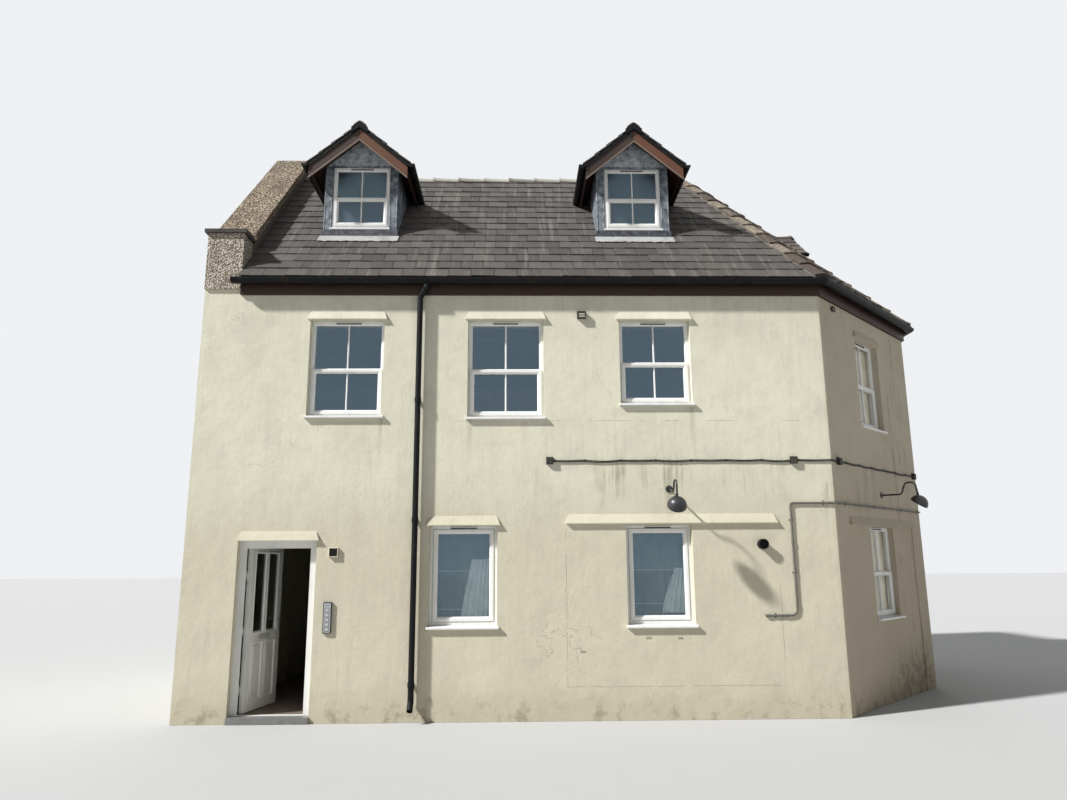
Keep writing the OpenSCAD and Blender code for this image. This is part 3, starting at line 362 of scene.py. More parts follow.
@dataclass(frozen=True)
class WallRender(Finish):
    """Old cream render: rain streaks, algae in patches, a splashed foot, hairline cracks and painted shade on
    the splay and side wall.
    """

    algae: Colour = (0.26, 0.25, 0.16)
    grime: Colour = (0.43, 0.37, 0.26)
    cloud: Colour = (0.50, 0.46, 0.40)
    warm: Colour = (0.47, 0.385, 0.26)
    # The colour of the painted shade over the splay and side wall.
    shaded: Colour = (0.37, 0.275, 0.205)
    soot: Colour = (0.17, 0.14, 0.09)
    moss: Colour = (0.11, 0.105, 0.06)
    damp: Colour = (0.20, 0.165, 0.11)
    crack_dirt: Colour = (0.20, 0.16, 0.12)
    warm_band: Point2 = (3.4, 1.9)
    drip_band: Point3 = (2.05, 2.88, 3.24)
    drips_from: Point2 = (3.6, 5.4)
    eaves_band: Point2 = (4.3, 5.2)
    corner_drips: Point4 = (9.25, 9.6, 9.85, 10.1)
    corner_x: Point2 = (7.98, 8.12)
    corner_foot: Point4 = (8.9, 9.5, 10.0, 10.2)
    chips: Tuple[Point2, ...] = ((5.66, 0.935), (6.04, 0.93), (4.86, 0.78))
    shop_sides: Point2 = (4.67, 7.30)
    shop_heights: Point2 = (0.38, 2.30)
    lift_z: float = 3.60
    lift_ends: Point2 = (3.1, 7.85)
    face_y: Point2 = (0.05, 0.02)
    sill_runs: Tuple[Point3, ...] = ((2.335, 3.63, 0.80), (3.46, 3.61, 0.55), (6.305, 3.78, 0.85))

    def mix(self, recipe: Recipe) -> None:
        """Mixes the weathered render.

        Args:
            recipe: The material being mixed.
        """
        x, y, z = recipe.axes()
        trowel = recipe.noise(8.0, 6.0, 0.72)
        patches = recipe.noise(1.1, 3.0, 0.5)
        runs = recipe.streaks((8.0, 8.0, 0.5), 5.0, 0.65)
        rain = recipe.streaks((30.0, 30.0, 1.1), 6.0, 0.72)
        washes = recipe.streaks((9.0, 9.0, 0.55), 6.0, 0.72)
        crack = self.cracks(recipe, x, y, z)
        low, middle, high = self.drip_band
        drip_in, drip_full, drip_less, drip_out = self.corner_drips
        foot_in, foot_full, foot_less, foot_out = self.corner_foot
        splash = recipe.calc("ADD", recipe.product(recipe.noise(2.6, 5.0, 0.65), 0.85), 0.02)
        coat = recipe.shades(
            recipe.noise(0.9, 5.0, 0.6), (0.30, toned(self.colour, 0.90)), (0.52, self.colour),
            (0.72, toned(self.colour, 1.05)))
        coat = recipe.coats(
            coat,
            (0.15, self.cloud, (trowel, 0.46, 0.70)),
            (0.20, self.cloud, (recipe.noise(2.6, 6.0, 0.68), 0.46, 0.64)),
            (0.27, self.cloud, (washes, 0.46, 0.68), (patches, 0.32, 0.60)),
            (0.28, self.grime, (rain, 0.50, 0.72), (patches, 0.42, 0.66)),
            (0.32, self.warm, (z, *self.warm_band)),
            (0.62, self.algae, (z, low, middle), (z, high, middle), (patches, 0.44, 0.58),
             (x, *self.drips_from), (runs, 0.48, 0.64)),
            *((0.40, self.algae, (recipe.away(x, at), 0.05, 0.005), (z, top - length, top),
               (z, top + 0.02, top), (rain, 0.36, 0.56)) for at, top, length in self.sill_runs),
            (0.30, self.algae, (z, *self.eaves_band), (runs, 0.52, 0.72), (patches, 0.5, 0.66)),
            (0.60, self.soot, (x, drip_in, drip_full), (x, drip_out, drip_less), (runs, 0.47, 0.62),
             (recipe.noise(3.4, 5.0, 0.7), 0.46, 0.58)),
            # Painted shade: past the front's corner, the splay and side wall are darkened towards this brown.
            (0.44, self.shaded, (x, *self.corner_x), (recipe.calc("SUBTRACT", x, y), 5.4, 8.0)),
            (0.62, self.moss, (x, foot_in, foot_full), (x, foot_out, foot_less), (z, 0.85, 0.10),
             (recipe.noise(7.0, 5.0, 0.7), 0.40, 0.56)),
            (0.42, self.grime, (recipe.calc("DIVIDE", z, splash), 1.15, 0.05)),
            (0.50, self.damp, (z, 0.42, 0.0), (recipe.noise(4.5, 5.0, 0.7), 0.50, 0.64)),
            (0.35, self.grime, (recipe.noise(42.0, 4.0, 0.75), 0.64, 0.74)),
            (0.42, self.crack_dirt, crack))
        recipe.set(Base_Color=self.topped(recipe, coat), Roughness=0.92, Specular_IOR_Level=0.25)
        recipe.bumps(
            (recipe.noise(2.2, 4.0, 0.55), 0.011), (trowel, 0.0045), (recipe.noise(60.0, 4.0, 0.7), 0.0026),
            (recipe.calc("SUBTRACT", 1.0, crack), 0.002))

    def topped(self, recipe: Recipe, coat: Socket) -> Socket:
        """Gives the coat as it is; a wall with another upper part mixes that in here."""
        return coat

    def cracks(self, recipe: Recipe, x: Socket, y: Socket, z: Socket) -> Socket:
        """Finds the hairline cracks and the outline of the walled-up shop window.

        Args:
            recipe: The material being mixed.
            x: The object's x.
            y: The object's y.
            z: The object's z.

        Returns:
            1 in a crack and 0 beside it.
        """
        wobble = recipe.product(recipe.calc("SUBTRACT", recipe.noise(9.0, 5.0, 0.75), 0.5), 0.035)
        (left, right), (low, high) = self.shop_sides, self.shop_heights
        lines = []
        for value, at, along, start, end in (
                (x, left, z, low, high), (x, right, z, low, high - 0.75), (z, low, x, left, right),
                (z, self.lift_z, x, *self.lift_ends)):
            off = recipe.calc("ABSOLUTE", recipe.calc("ADD", recipe.calc("SUBTRACT", value, at), wobble))
            lines.append(recipe.share(
                (off, 0.0055, 0.0012), (along, start - 0.02, start), (along, end + 0.02, end)))
        broken = recipe.share(lines.pop(), (recipe.noise(2.7, 3.0, 0.7), 0.50, 0.56))
        outline = recipe.share(
            recipe.calc("MAXIMUM", *lines, broken), (y, *self.face_y), (recipe.noise(5.0, 3.0), 0.34, 0.52))
        hair = recipe.share(
            (recipe.cells(0.55, "Distance", "DISTANCE_TO_EDGE", self.warped(recipe)), 0.0016, 0.0004),
            (recipe.noise(0.7, 2.0), 0.56, 0.62), 0.7)
        pocks = recipe.share(
            (recipe.cells(16.0), 0.17, 0.11), (recipe.away(x, left), 0.10, 0.03), (y, *self.face_y),
            (z, low, low + 0.1), (z, high, high - 0.1))
        ragged = recipe.product(recipe.calc("SUBTRACT", recipe.noise(38.0, 4.0, 0.7), 0.5), 0.09)
        chips = []
        for at, height in self.chips:
            size = recipe.calc("MAXIMUM", recipe.away(x, at), recipe.product(recipe.away(z, height), 2.4))
            size = recipe.calc("ADD", size, ragged)
            chips.append(recipe.share((size, 0.036, 0.026), (y, *self.face_y), 1.6))
        return recipe.calc("MAXIMUM", outline, hair, pocks, *chips)

    @staticmethod
    def warped(recipe: Recipe) -> Socket:
        """Gives the object's coordinates, pushed about so that cracks wander.

        Args:
            recipe: The material being mixed.

        Returns:
            The vector socket.
        """
        node = recipe.add("ShaderNodeVectorMath", operation="MULTIPLY_ADD")
        push = recipe.noise(2.4, 5.0, 0.5, output="Color")
        for value, socket in zip((push, (0.42, 0.42, 0.42), recipe.place), node.inputs):
            recipe.join(value, socket)
        return node.outputs["Vector"]


@dataclass(frozen=True)
class PartyRender(WallRender):
    """The party wall: render outside, and above the roof on the inner side a near-black pebble-dashing, its
    own dark roughcast darkened further as painted shade.
    """

    # Partly painted shade: the inner face above the roof is darker than the dashing's own colour.
    shaded_dashing: Colour = (0.105, 0.09, 0.075)
    inner_x: float = 0.467
    roof_z: float = 5.45

    def topped(self, recipe: Recipe, coat: Socket) -> Socket:
        """Lays the dashing, darkened as painted shade, over the inner face.

        Args:
            recipe: The material being mixed.
            coat: The weathered coat.

        Returns:
            The two coats.
        """
        x, _, z = recipe.axes()
        inside = recipe.share((x, self.inner_x - 0.004, self.inner_x), (z, self.roof_z - 0.02, self.roof_z))
        speckled = recipe.shades(
            recipe.noise(70.0, 3.0, 0.7), (0.35, toned(self.shaded_dashing, 0.6)), (0.65, toned(self.shaded_dashing, 1.5)))
        return recipe.blend(inside, coat, speckled)


@dataclass(frozen=True)
class Roughcast(Finish):
    """Pebbles thrown into mortar, with lichen and darker patches here and there."""

    pebble: float = 74.0
    dark: Colour = (0.10, 0.08, 0.06)
    pale: Colour = (0.56, 0.50, 0.40)
    lichen: Colour = (0.36, 0.29, 0.15)

    def mix(self, recipe: Recipe) -> None:
        """Mixes the pebbled coat.

        Args:
            recipe: The material being mixed.
        """
        level = recipe.add("ShaderNodeSeparateColor")
        recipe.join(recipe.cells(self.pebble, "Color"), level.inputs["Color"])
        stones = recipe.shades(
            level.outputs["Red"], (0.0, self.dark), (0.35, self.colour), (0.8, self.colour), (1.0, self.pale))
        gap = recipe.cells(self.pebble)
        coat = recipe.coats(
            recipe.blend(recipe.fade(gap, 0.35, 0.75), stones, self.dark),
            (0.35, self.lichen, (recipe.noise(3.1, 5.0, 0.65), 0.56, 0.70)),
            (0.40, self.dark, (recipe.noise(1.7, 4.0, 0.6), 0.48, 0.66)))
        recipe.set(Base_Color=coat, Roughness=0.95, Specular_IOR_Level=0.25)
        recipe.bumps((recipe.fade(gap, 0.75, 0.0), 0.012), (recipe.noise(9.0, 3.0), 0.010))


@dataclass(frozen=True)
class Weathered(Finish):
    """A mottled matte surface: stone, mortar, boards or dull plastic."""

    dirt: Colour = (0.12, 0.10, 0.08)
    grain: float = 24.0
    amount: float = 0.5
    relief: float = 0.002
    stretch: Point3 = (1.0, 1.0, 1.0)
    metal: float = 0.0

    def mix(self, recipe: Recipe) -> None:
        """Mixes two sizes of mottling.

        Args:
            recipe: The material being mixed.
        """
        along = recipe.stretched(self.stretch)
        broad = recipe.noise(self.grain / 9.0, 5.0, 0.6, along)
        fine = recipe.noise(self.grain, 5.0, 0.65, along)
        tone = recipe.shades(
            fine, (0.3, toned(self.colour, 0.78)), (0.55, self.colour), (0.8, toned(self.colour, 1.18)))
        coat = recipe.coats(tone, (self.amount, self.dirt, (broad, 0.42, 0.72)))
        roughness = recipe.calc("ADD", self.roughness - 0.08, recipe.product(fine, 0.16))
        recipe.set(Base_Color=coat, Roughness=roughness, Metallic=self.metal)
        recipe.bumps((fine, self.relief))


@dataclass(frozen=True)
class RoofTile(Finish):
    """Weathered tiles, each with its own tone, with rain runs, lichen and some moss."""

    turn: float = 0.0
    tones: Tuple[Colour, ...] = (
        (0.060, 0.054, 0.050), (0.078, 0.070, 0.064), (0.089, 0.080, 0.073), (0.104, 0.095, 0.086))
    moss: Colour = (0.115, 0.105, 0.045)
    lichen: Colour = (0.33, 0.32, 0.28)
    growth: float = 0.5
    crust: float = 0.0
    crust_tone: Colour = (0.39, 0.345, 0.25)

    def mix(self, recipe: Recipe) -> None:
        """Mixes the tones of single tiles and what grows on them.

        Args:
            recipe: The material being mixed.
        """
        each = recipe.add("ShaderNodeNewGeometry").outputs["Random Per Island"]
        fine = recipe.noise(46.0, 5.0, 0.7)
        broad = recipe.noise(1.1, 5.0, 0.6)
        runs = recipe.streaks((13.0, 0.8, 0.8), 5.0, 0.68, self.turn)
        darkest = self.tones[0]
        tone = recipe.coats(
            recipe.shades(each, *((k / (len(self.tones) - 1), c) for k, c in enumerate(self.tones))),
            (0.55, self.colour, (fine, 0.46, 0.74)),
            (0.45, darkest, (broad, 0.5, 0.74)),
            (0.36, self.lichen, (runs, 0.52, 0.74)),
            (0.35, darkest, (runs, 0.46, 0.30)),
            (self.growth, self.moss, (recipe.noise(19.0, 4.0, 0.7), 0.60, 0.68), (broad, 0.42, 0.58)),
            (self.growth, self.lichen, (recipe.cells(17.0), 0.20, 0.12),
             (recipe.noise(2.3, 3.0), 0.55, 0.64)),
            (self.crust, self.crust_tone, (each, 0.35, 0.60), (recipe.noise(21.0, 6.0, 0.8), 0.49, 0.56)))
        recipe.set(Base_Color=tone, Roughness=0.86, Specular_IOR_Level=0.3)
        recipe.bumps((fine, 0.0024), (recipe.noise(140.0, 3.0, 0.6), 0.0006))


@dataclass(frozen=True)
class SheetLead(Finish):
    """Dull lead with a mottled patina and pale runs."""

    patina: Colour = (0.38, 0.43, 0.47)
    tarnish: Colour = (0.145, 0.17, 0.20)

    def mix(self, recipe: Recipe) -> None:
        """Mixes the patina.

        Args:
            recipe: The material being mixed.
        """
        cloud = recipe.noise(13.0, 6.0, 0.72)
        coat = recipe.coats(
            recipe.shades(cloud, (0.38, self.tarnish), (0.5, self.colour), (0.64, self.patina)),
            (0.40, self.patina, (recipe.streaks((17.0, 17.0, 1.4), 4.0, 0.6), 0.54, 0.72)))
        recipe.set(Base_Color=self.painted_gable_light(recipe, cloud, coat), Roughness=0.65, Metallic=0.1)
        recipe.bumps((recipe.noise(5.0, 3.0), 0.006), (cloud, 0.0015))

    def painted_gable_light(self, recipe: Recipe, cloud: Socket, coat: Socket) -> Socket:
        """Gives the coat as it is; lead with painted light on a part mixes that in here, from its mottling.
        """
        return coat


@dataclass(frozen=True)
class DormerLead(SheetLead):
    """The lead of the dormers' walls, painted pale in the gables above the windows as painted sunlight."""

    # Above this height the lead takes two pale tones of painted sunlight.
    gable_z: float = 7.53
    gable_light_dark: Colour = (0.22, 0.25, 0.285)
    gable_light_pale: Colour = (0.68, 0.735, 0.775)

    def painted_gable_light(self, recipe: Recipe, cloud: Socket, coat: Socket) -> Socket:
        """Paints the gables pale: painted sunlight.

        Args:
            recipe: The material being mixed.
            cloud: The mottling, about 0.5 on average.
            coat: The coat so far.

        Returns:
            The two coats.
        """
        _, _, z = recipe.axes()
        gable = recipe.fade(z, self.gable_z - 0.02, self.gable_z + 0.02)
        return recipe.blend(gable, coat, recipe.shades(cloud, (0.36, self.gable_light_dark), (0.64, self.gable_light_pale)))


@dataclass(frozen=True)
class Paintwork(Finish):
    """Gloss paint on timber, worn and faded by the sun along the grain."""

    bare: Colour = (0.30, 0.20, 0.14)
    grain: Point3 = (3.0, 3.0, 40.0)

    def mix(self, recipe: Recipe) -> None:
        """Mixes the paint and its wear.

        Args:
            recipe: The material being mixed.
        """
        grain = recipe.streaks(self.grain, 6.0, 0.65)
        wear = recipe.share((grain, 0.55, 0.72), (recipe.noise(2.0, 4.0, 0.6), 0.46, 0.66))
        coat = recipe.coats(
            self.colour, (0.7, self.bare, wear),
            (0.4, toned(self.colour, 0.55), (recipe.noise(0.8, 3.0), 0.45, 0.7)))
        recipe.set(
            Base_Color=coat, Roughness=recipe.calc("ADD", self.roughness, recipe.product(wear, 0.3)),
            Specular_IOR_Level=0.25)
        recipe.bumps((grain, 0.0012))


@dataclass(frozen=True)
class Moulded(Finish):
    """Smooth moulded plastic or enamel with a little dust."""

    dust: Colour = (0.30, 0.28, 0.24)
    amount: float = 0.2
    coat: float = 0.0
    shine: float = 0.5

    def mix(self, recipe: Recipe) -> None:
        """Mixes the smooth surface and its dust.

        Args:
            recipe: The material being mixed.
        """
        runs = recipe.streaks((9.0, 9.0, 2.2), 4.0, 0.65)
        dusty = recipe.share((runs, 0.48, 0.75), self.amount)
        recipe.set(
            Base_Color=recipe.blend(dusty, self.colour, self.dust),
            Roughness=recipe.calc("ADD", self.roughness, recipe.product(dusty, 0.4)),
            Coat_Weight=self.coat, Specular_IOR_Level=self.shine)
        recipe.bumps((recipe.noise(160.0, 2.0), 0.00015))


@dataclass(frozen=True)
class WindowGlass(Finish):
    """Coated double glazing: a cool sheen, smears in patches and a slight wave."""

    sheen: Point4 = (0.58, 0.82, 1.0, 1.0)
    bend: float = 1.85
    haze: float = 0.0

    def mix(self, recipe: Recipe) -> None:
        """Mixes the glass.

        Args:
            recipe: The material being mixed.
        """
        smear = recipe.share((recipe.noise(4.0, 5.0, 0.65), 0.5, 0.8), 0.08)
        recipe.set(
            Base_Color=self.colour, Roughness=recipe.calc("ADD", smear, self.haze), IOR=self.bend,
            Transmission_Weight=1.0, Specular_Tint=self.sheen)
        recipe.bumps((recipe.noise(1.1, 2.0), 0.004))


@dataclass(frozen=True)
class FramePaint(Finish):
    """The white door frame, whose sill is a grey step with a pale nosing."""

    dust: Colour = (0.50, 0.48, 0.42)
    # The step's own grey, darkened further as painted shade.
    step: Colour = (0.20, 0.197, 0.19)
    scuffs: Colour = (0.13, 0.12, 0.11)
    step_z: float = 0.078

    def mix(self, recipe: Recipe) -> None:
        """Mixes the frame and its step.

        Args:
            recipe: The material being mixed.
        """
        _, _, z = recipe.axes()
        white = recipe.coats(
            self.colour, (0.3, self.dust, (recipe.streaks((9.0, 9.0, 2.2), 4.0, 0.65), 0.48, 0.75)))
        worn = recipe.coats(self.step, (0.6, self.scuffs, (recipe.noise(14.0, 5.0, 0.7), 0.46, 0.68)))
        recipe.set(
            Base_Color=recipe.blend(recipe.fade(z, self.step_z - 0.003, self.step_z), worn, white),
            Roughness=self.roughness)
        recipe.bumps((recipe.noise(90.0, 3.0), 0.0004))


@dataclass(frozen=True)
class Metal(Finish):
    """Bare metal, polished or brushed one way."""

    brushed: Point3 = (6.0, 6.0, 6.0)

    def mix(self, recipe: Recipe) -> None:
        """Mixes the metal.

        Args:
            recipe: The material being mixed.
        """
        lines = recipe.streaks(self.brushed, 4.0, 0.7)
        recipe.set(
            Base_Color=recipe.blend(recipe.fade(lines, 0.4, 0.7), self.colour, toned(self.colour, 0.8)),
            Metallic=1.0, Roughness=recipe.calc("ADD", self.roughness - 0.05, recipe.product(lines, 0.12)))
        recipe.bumps((lines, 0.0001))


@dataclass(frozen=True)
class NetCloth(Finish):
    """A thin woven net that lets some light through."""

    threads: float = 700.0

    def mix(self, recipe: Recipe) -> None:
        """Mixes the weave.

        Args:
            recipe: The material being mixed.
        """
        x, y, z = recipe.axes()
        across = recipe.calc("SINE", recipe.product(recipe.calc("ADD", x, y), self.threads))
        down = recipe.calc("SINE", recipe.product(z, self.threads))
        shade = recipe.fade(recipe.noise(6.0, 3.0), 0.4, 0.7)
        recipe.set(
            Base_Color=recipe.blend(shade, self.colour, toned(self.colour, 0.86)), Roughness=0.95,
            Transmission_Weight=0.15, Sheen_Weight=0.3)
        recipe.bumps((recipe.calc("MAXIMUM", across, down), 0.0003))


CREAM = WallRender("cream_render", (0.70, 0.677, 0.535))
PARTY = PartyRender("party_render", (0.70, 0.677, 0.535))
PEBBLES = Roughcast("roughcast", (0.36, 0.285, 0.20), pebble=36.0, dark=(0.08, 0.06, 0.045),
                    pale=(0.80, 0.71, 0.54))
PIER_DASH = Roughcast("pier_dash", (0.62, 0.55, 0.455), pebble=46.0, dark=(0.17, 0.14, 0.11),
                      pale=(0.84, 0.78, 0.68))
CAP_STONE = Weathered("cap_stone", (0.060, 0.055, 0.046), 0.9, (0.02, 0.018, 0.016), 30.0, 0.6, 0.004)
MORTAR = Weathered("mortar", (0.17, 0.155, 0.13), 0.95, (0.07, 0.06, 0.05), 60.0, 0.7, 0.004)
BOARDS = Weathered("floor_boards", (0.17, 0.13, 0.10), 0.7, (0.08, 0.06, 0.05), 16.0, 0.5, 0.001,
                   (0.4, 6.0, 1.0))
DECK = Weathered("roof_deck", (0.085, 0.07, 0.06), 0.9, (0.04, 0.035, 0.03), 18.0)
TILE = RoofTile("roof_tile", (0.097, 0.088, 0.079))
SIDE_TILE = RoofTile("side_roof_tile", (0.097, 0.088, 0.079), turn=90.0)
SPLAY_TILE = RoofTile("splay_roof_tile", (0.097, 0.088, 0.079), turn=45.0)
HIP_TILE = RoofTile("hip_tile", (0.13, 0.10, 0.08), growth=0.75, crust=0.75, tones=(
    (0.060, 0.046, 0.040), (0.095, 0.070, 0.057), (0.13, 0.092, 0.070), (0.17, 0.14, 0.115)))
RIDGE_TILE = RoofTile("ridge_tile", (0.33, 0.31, 0.275), tones=(
    (0.20, 0.185, 0.165), (0.27, 0.25, 0.22), (0.33, 0.31, 0.275), (0.40, 0.38, 0.34)))
LEAD = SheetLead("lead", (0.165, 0.19, 0.215), patina=(0.32, 0.36, 0.39), tarnish=(0.060, 0.070, 0.088))
FACE_LEAD = DormerLead("dormer_lead", (0.150, 0.172, 0.195), patina=(0.28, 0.32, 0.35),
                       tarnish=(0.055, 0.064, 0.080))
# Near-black lead for the upstands: painted shade under the dormer window sills.
UPSTAND_SHADE_LEAD = SheetLead("upstand_shade_lead", (0.045, 0.050, 0.062), patina=(0.11, 0.12, 0.14),
                      tarnish=(0.020, 0.022, 0.028))
PALE_LEAD = Weathered("pale_lead", (0.42, 0.42, 0.405), 0.7, (0.15, 0.145, 0.13), 34.0, 0.75, 0.003)
# Dark brown paint, darkened further as painted shade of the eaves and gutter; it also dresses the dormers'
# roof undersides.
SHADED_FASCIA_PAINT = Paintwork("shaded_fascia_paint", (0.032, 0.015, 0.011), 0.45, (0.085, 0.045, 0.030))
# Lit and shaded copies of one brown paint: painted shade for the left barge boards, painted sunlight for the
# right ones.
SHADED_BARGE = Paintwork("shaded_barge_paint", (0.050, 0.034, 0.028), 0.55, (0.13, 0.066, 0.040))
SUNLIT_BARGE = Paintwork("sunlit_barge_paint", (0.125, 0.058, 0.036), 0.50, (0.22, 0.12, 0.075))
BEAD_PAINT = Moulded("bead_paint", (0.24, 0.18, 0.14), 0.5)
BLACK_PLASTIC = Moulded("black_plastic", (0.009, 0.009, 0.010), 0.46, (0.05, 0.050, 0.036), 0.25,
                        shine=0.12)
WHITE_FRAME = Moulded("white_frame", (0.80, 0.80, 0.775), 0.30, (0.50, 0.48, 0.42), 0.30, 0.1)
DOOR_FRAME = FramePaint("door_frame_paint", (0.80, 0.80, 0.775), 0.35)
GLASS = WindowGlass("window_glass", (0.78, 0.85, 0.88), 0.02)
HAZED_GLASS = WindowGlass("hazed_glass", (0.78, 0.85, 0.88), 0.02, haze=0.36)
CLEAR_GLASS = WindowGlass("clear_glass", (0.95, 0.95, 0.93), 0.02, sheen=(0.9, 0.95, 1.0, 1.0),
                          bend=1.22)
CHROME = Metal("chrome", (0.78, 0.79, 0.80), 0.30)
SATIN = Moulded("satin_plate", (0.46, 0.465, 0.47), 0.45)
BRUSHED = Metal("brushed_steel", (0.50, 0.51, 0.52), 0.38, (4.0, 4.0, 220.0))
ENAMEL = Moulded("black_enamel", (0.014, 0.014, 0.014), 0.40, (0.14, 0.13, 0.11), 0.30, 0.15)
CABLE = Moulded("cable_sheath", (0.030, 0.031, 0.026), 0.6, (0.11, 0.105, 0.08), 0.35, shine=0.25)
GALVANISED = Weathered("galvanised", (0.15, 0.145, 0.125), 0.6, (0.07, 0.06, 0.045), 40.0, 0.6, 0.0006,
                       metal=0.3)
VENT_PLASTIC = Moulded("vent_plastic", (0.60, 0.55, 0.44), 0.5, (0.2, 0.17, 0.12), 0.5)
# Near-black for the strips under the trickle-vent hoods: painted shadow of the hoods.
HOOD_SHADOW_BLACK = Moulded("hood_shadow_black", (0.02, 0.02, 0.02), 0.7)
NET = NetCloth("net_curtain", (0.74, 0.78, 0.75))
# A grey net, its darkness partly painted shade of the dim rooms behind the ground-floor windows.
SHADED_GREY_NET = NetCloth("grey_net_dimmed_as_shade", (0.20, 0.22, 0.195))
BEIGE_NET = NetCloth("beige_curtain", (0.82, 0.75, 0.60))
PEARL = Moulded("pearl_glass", (0.82, 0.82, 0.78), 0.25, amount=0.05)


def stand(mesh: bpy.types.Mesh, finish: Finish, body: Body = Body.BUILDING,
          stands_for: Sequence[str] = ()) -> bpy.types.Object:
    """Stands a dressed mesh in the scene on its body, and hides the nodes that it replaces.

    Args:
        mesh: The mesh, which gives the piece its name.
        finish: Its finish.
        body: The body that it rides on.
        stands_for: The nodes that it replaces.

    Returns:
        The piece.
    """
    obj = bpy.data.objects.new(mesh.name, mesh)
    bpy.context.scene.collection.objects.link(obj)
    finish.dress(obj)
    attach(obj, body.value)
    if stands_for:
        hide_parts(*stands_for)
    return obj


class Shape:
    """A mesh being put together from closed solids."""

    def __init__(self) -> None:
        """Starts with nothing."""
        self.points: List[Vector] = []
        self.faces: List[Tuple[int, ...]] = []

    def rings(self, rings: Sequence[Sequence[Sequence[float]]], place: Matrix = Matrix(),
              joined: bool = False) -> None:
        """Adds a skin over a row of rings, closed by its two end rings or joined end to end.

        Args:
            rings: Closed rings with the same number of points.
            place: Where it goes.
            joined: Whether the last ring joins the first.
        """
        size, count, start = len(rings[0]), len(rings), len(self.points)
        self.points.extend(place @ Vector(p) for ring in rings for p in ring)
        for k in range(count if joined else count - 1):
            here, there = start + k * size, start + (k + 1) % count * size
            for j in range(size):
                nxt = (j + 1) % size
                self.faces.append((here + j, here + nxt, there + nxt, there + j))
        if not joined:
            self.faces.append(tuple(reversed(range(start, start + size))))
            self.faces.append(tuple(range(start + (count - 1) * size, start + count * size)))

    def prism(self, outline: Sequence[Point2], start: float, end: float, axis: Axis,
              place: Matrix = Matrix()) -> None:
        """Adds a prism along an axis, from its outline in the other two."""
        k = axis.value
        self.rings([[(*p[:k], along, *p[k:]) for p in outline] for along in (start, end)], place)

    def block(self, low: Point3, high: Point3, place: Matrix = Matrix()) -> None:
        """Adds a block between its lowest and its highest corner, for a bevel to soften."""
        (x, y, z), (far_x, far_y, top) = low, high
        self.prism([(x, y), (far_x, y), (far_x, far_y), (x, far_y)], z, top, Axis.Z, place)

    def framed(self, low: Point2, high: Point2, profile: Sequence[Point2], place: Matrix = Matrix()) -> None:
        """Adds a mitred frame round a rectangle in the xz plane.

        Args:
            low: The rectangle's lowest corner.
            high: The rectangle's highest corner.
            profile: Points of distance inside the rectangle and depth y.
            place: Where it goes.
        """
        (x, z), (far_x, top) = low, high
        corners = ((x, z, 1, 1), (far_x, z, -1, 1), (far_x, top, -1, -1), (x, top, 1, -1))
        self.rings([[(cx + a * inside, depth, cz + b * inside) for inside, depth in profile]
                    for cx, cz, a, b in corners], place, joined=True)

    def turned(self, profile: Sequence[Point2], place: Matrix = Matrix(), steps: int = 32) -> None:
        """Adds a solid turned about z, from a closed line of radii and heights."""
        angles = [2 * math.pi * k / steps for k in range(steps)]
        self.rings([[(max(r, LEAST_R) * math.cos(t), max(r, LEAST_R) * math.sin(t), z) for r, z in profile]
                    for t in angles], place, joined=True)

    def tube(self, path: Sequence[Sequence[float]], radius: float, place: Matrix = Matrix(),
             steps: int = 12) -> None:
        """Adds a round tube along a path.

        Args:
            path: The points of its middle line.
            radius: Its radius.
            place: Where it goes.
            steps: The number of steps round it.
        """
        line = [Vector(p) for p in path]
        side = None
        rings = []
        for k, point in enumerate(line):
            ahead = line[min(k + 1, len(line) - 1)] - line[max(k - 1, 0)]
            ahead.normalize()
            if side is None:
                side = ahead.orthogonal().normalized()
            side = (side - ahead * side.dot(ahead)).normalized()
            up = ahead.cross(side)
            rings.append([point + (side * math.cos(t) + up * math.sin(t)) * radius
                          for t in (2 * math.pi * j / steps for j in range(steps))])
        self.rings(rings, place)

    def piece(self, name: str, finish: Finish, slot: str, body: Body = Body.BUILDING, bevel: float = 0.0,
              smooth: bool = False, stands_for: Sequence[str] = ()) -> None:
        """Makes the piece and hands it to the frame.

        Args:
            name: The piece's name.
            finish: Its finish.
            slot: The name of a material slot of the record; not used.
            body: The body that it rides on.
            bevel: The width of its softened edges.
            smooth: Whether its curved faces are shaded smooth.
            stands_for: The nodes that it replaces.
        """
        mesh = bpy.data.meshes.new(name)
        mesh.from_pydata([tuple(p) for p in self.points], [], self.faces)
        work = bmesh.new()
        work.from_mesh(mesh)
        bmesh.ops.recalc_face_normals(work, faces=work.faces)
        work.to_mesh(mesh)
        work.free()
        if smooth:
            mesh.shade_smooth()
            mesh.set_sharp_from_angle(angle=math.radians(35))
        obj = stand(mesh, finish, body, stands_for)
        if bevel:
            soft = obj.modifiers.new("soft_edges", "BEVEL")
            soft.width = bevel
            soft.segments = 2
            soft.limit_method = "ANGLE"
            soft.angle_limit = math.radians(40)
        LOG.info("%s: %d faces", name, len(mesh.polygons))


@dataclass(frozen=True)
class WallFrame:
    """The upright frame of one outer wall: x along it from its corner, y into the building."""

    corner: Point2
    turn: float

    def place(self) -> Matrix:
        """Gives the matrix from the wall's frame to the world."""
        return shift(*self.corner, 0) @ spin(self.turn, "Z")

    def inside(self, point: Sequence[float]) -> Point2:
        """Gives a world point's place along the wall and its distance inside it."""
        local = self.place().inverted() @ Vector((point[0], point[1], 0))
        return (local.x, local.y)


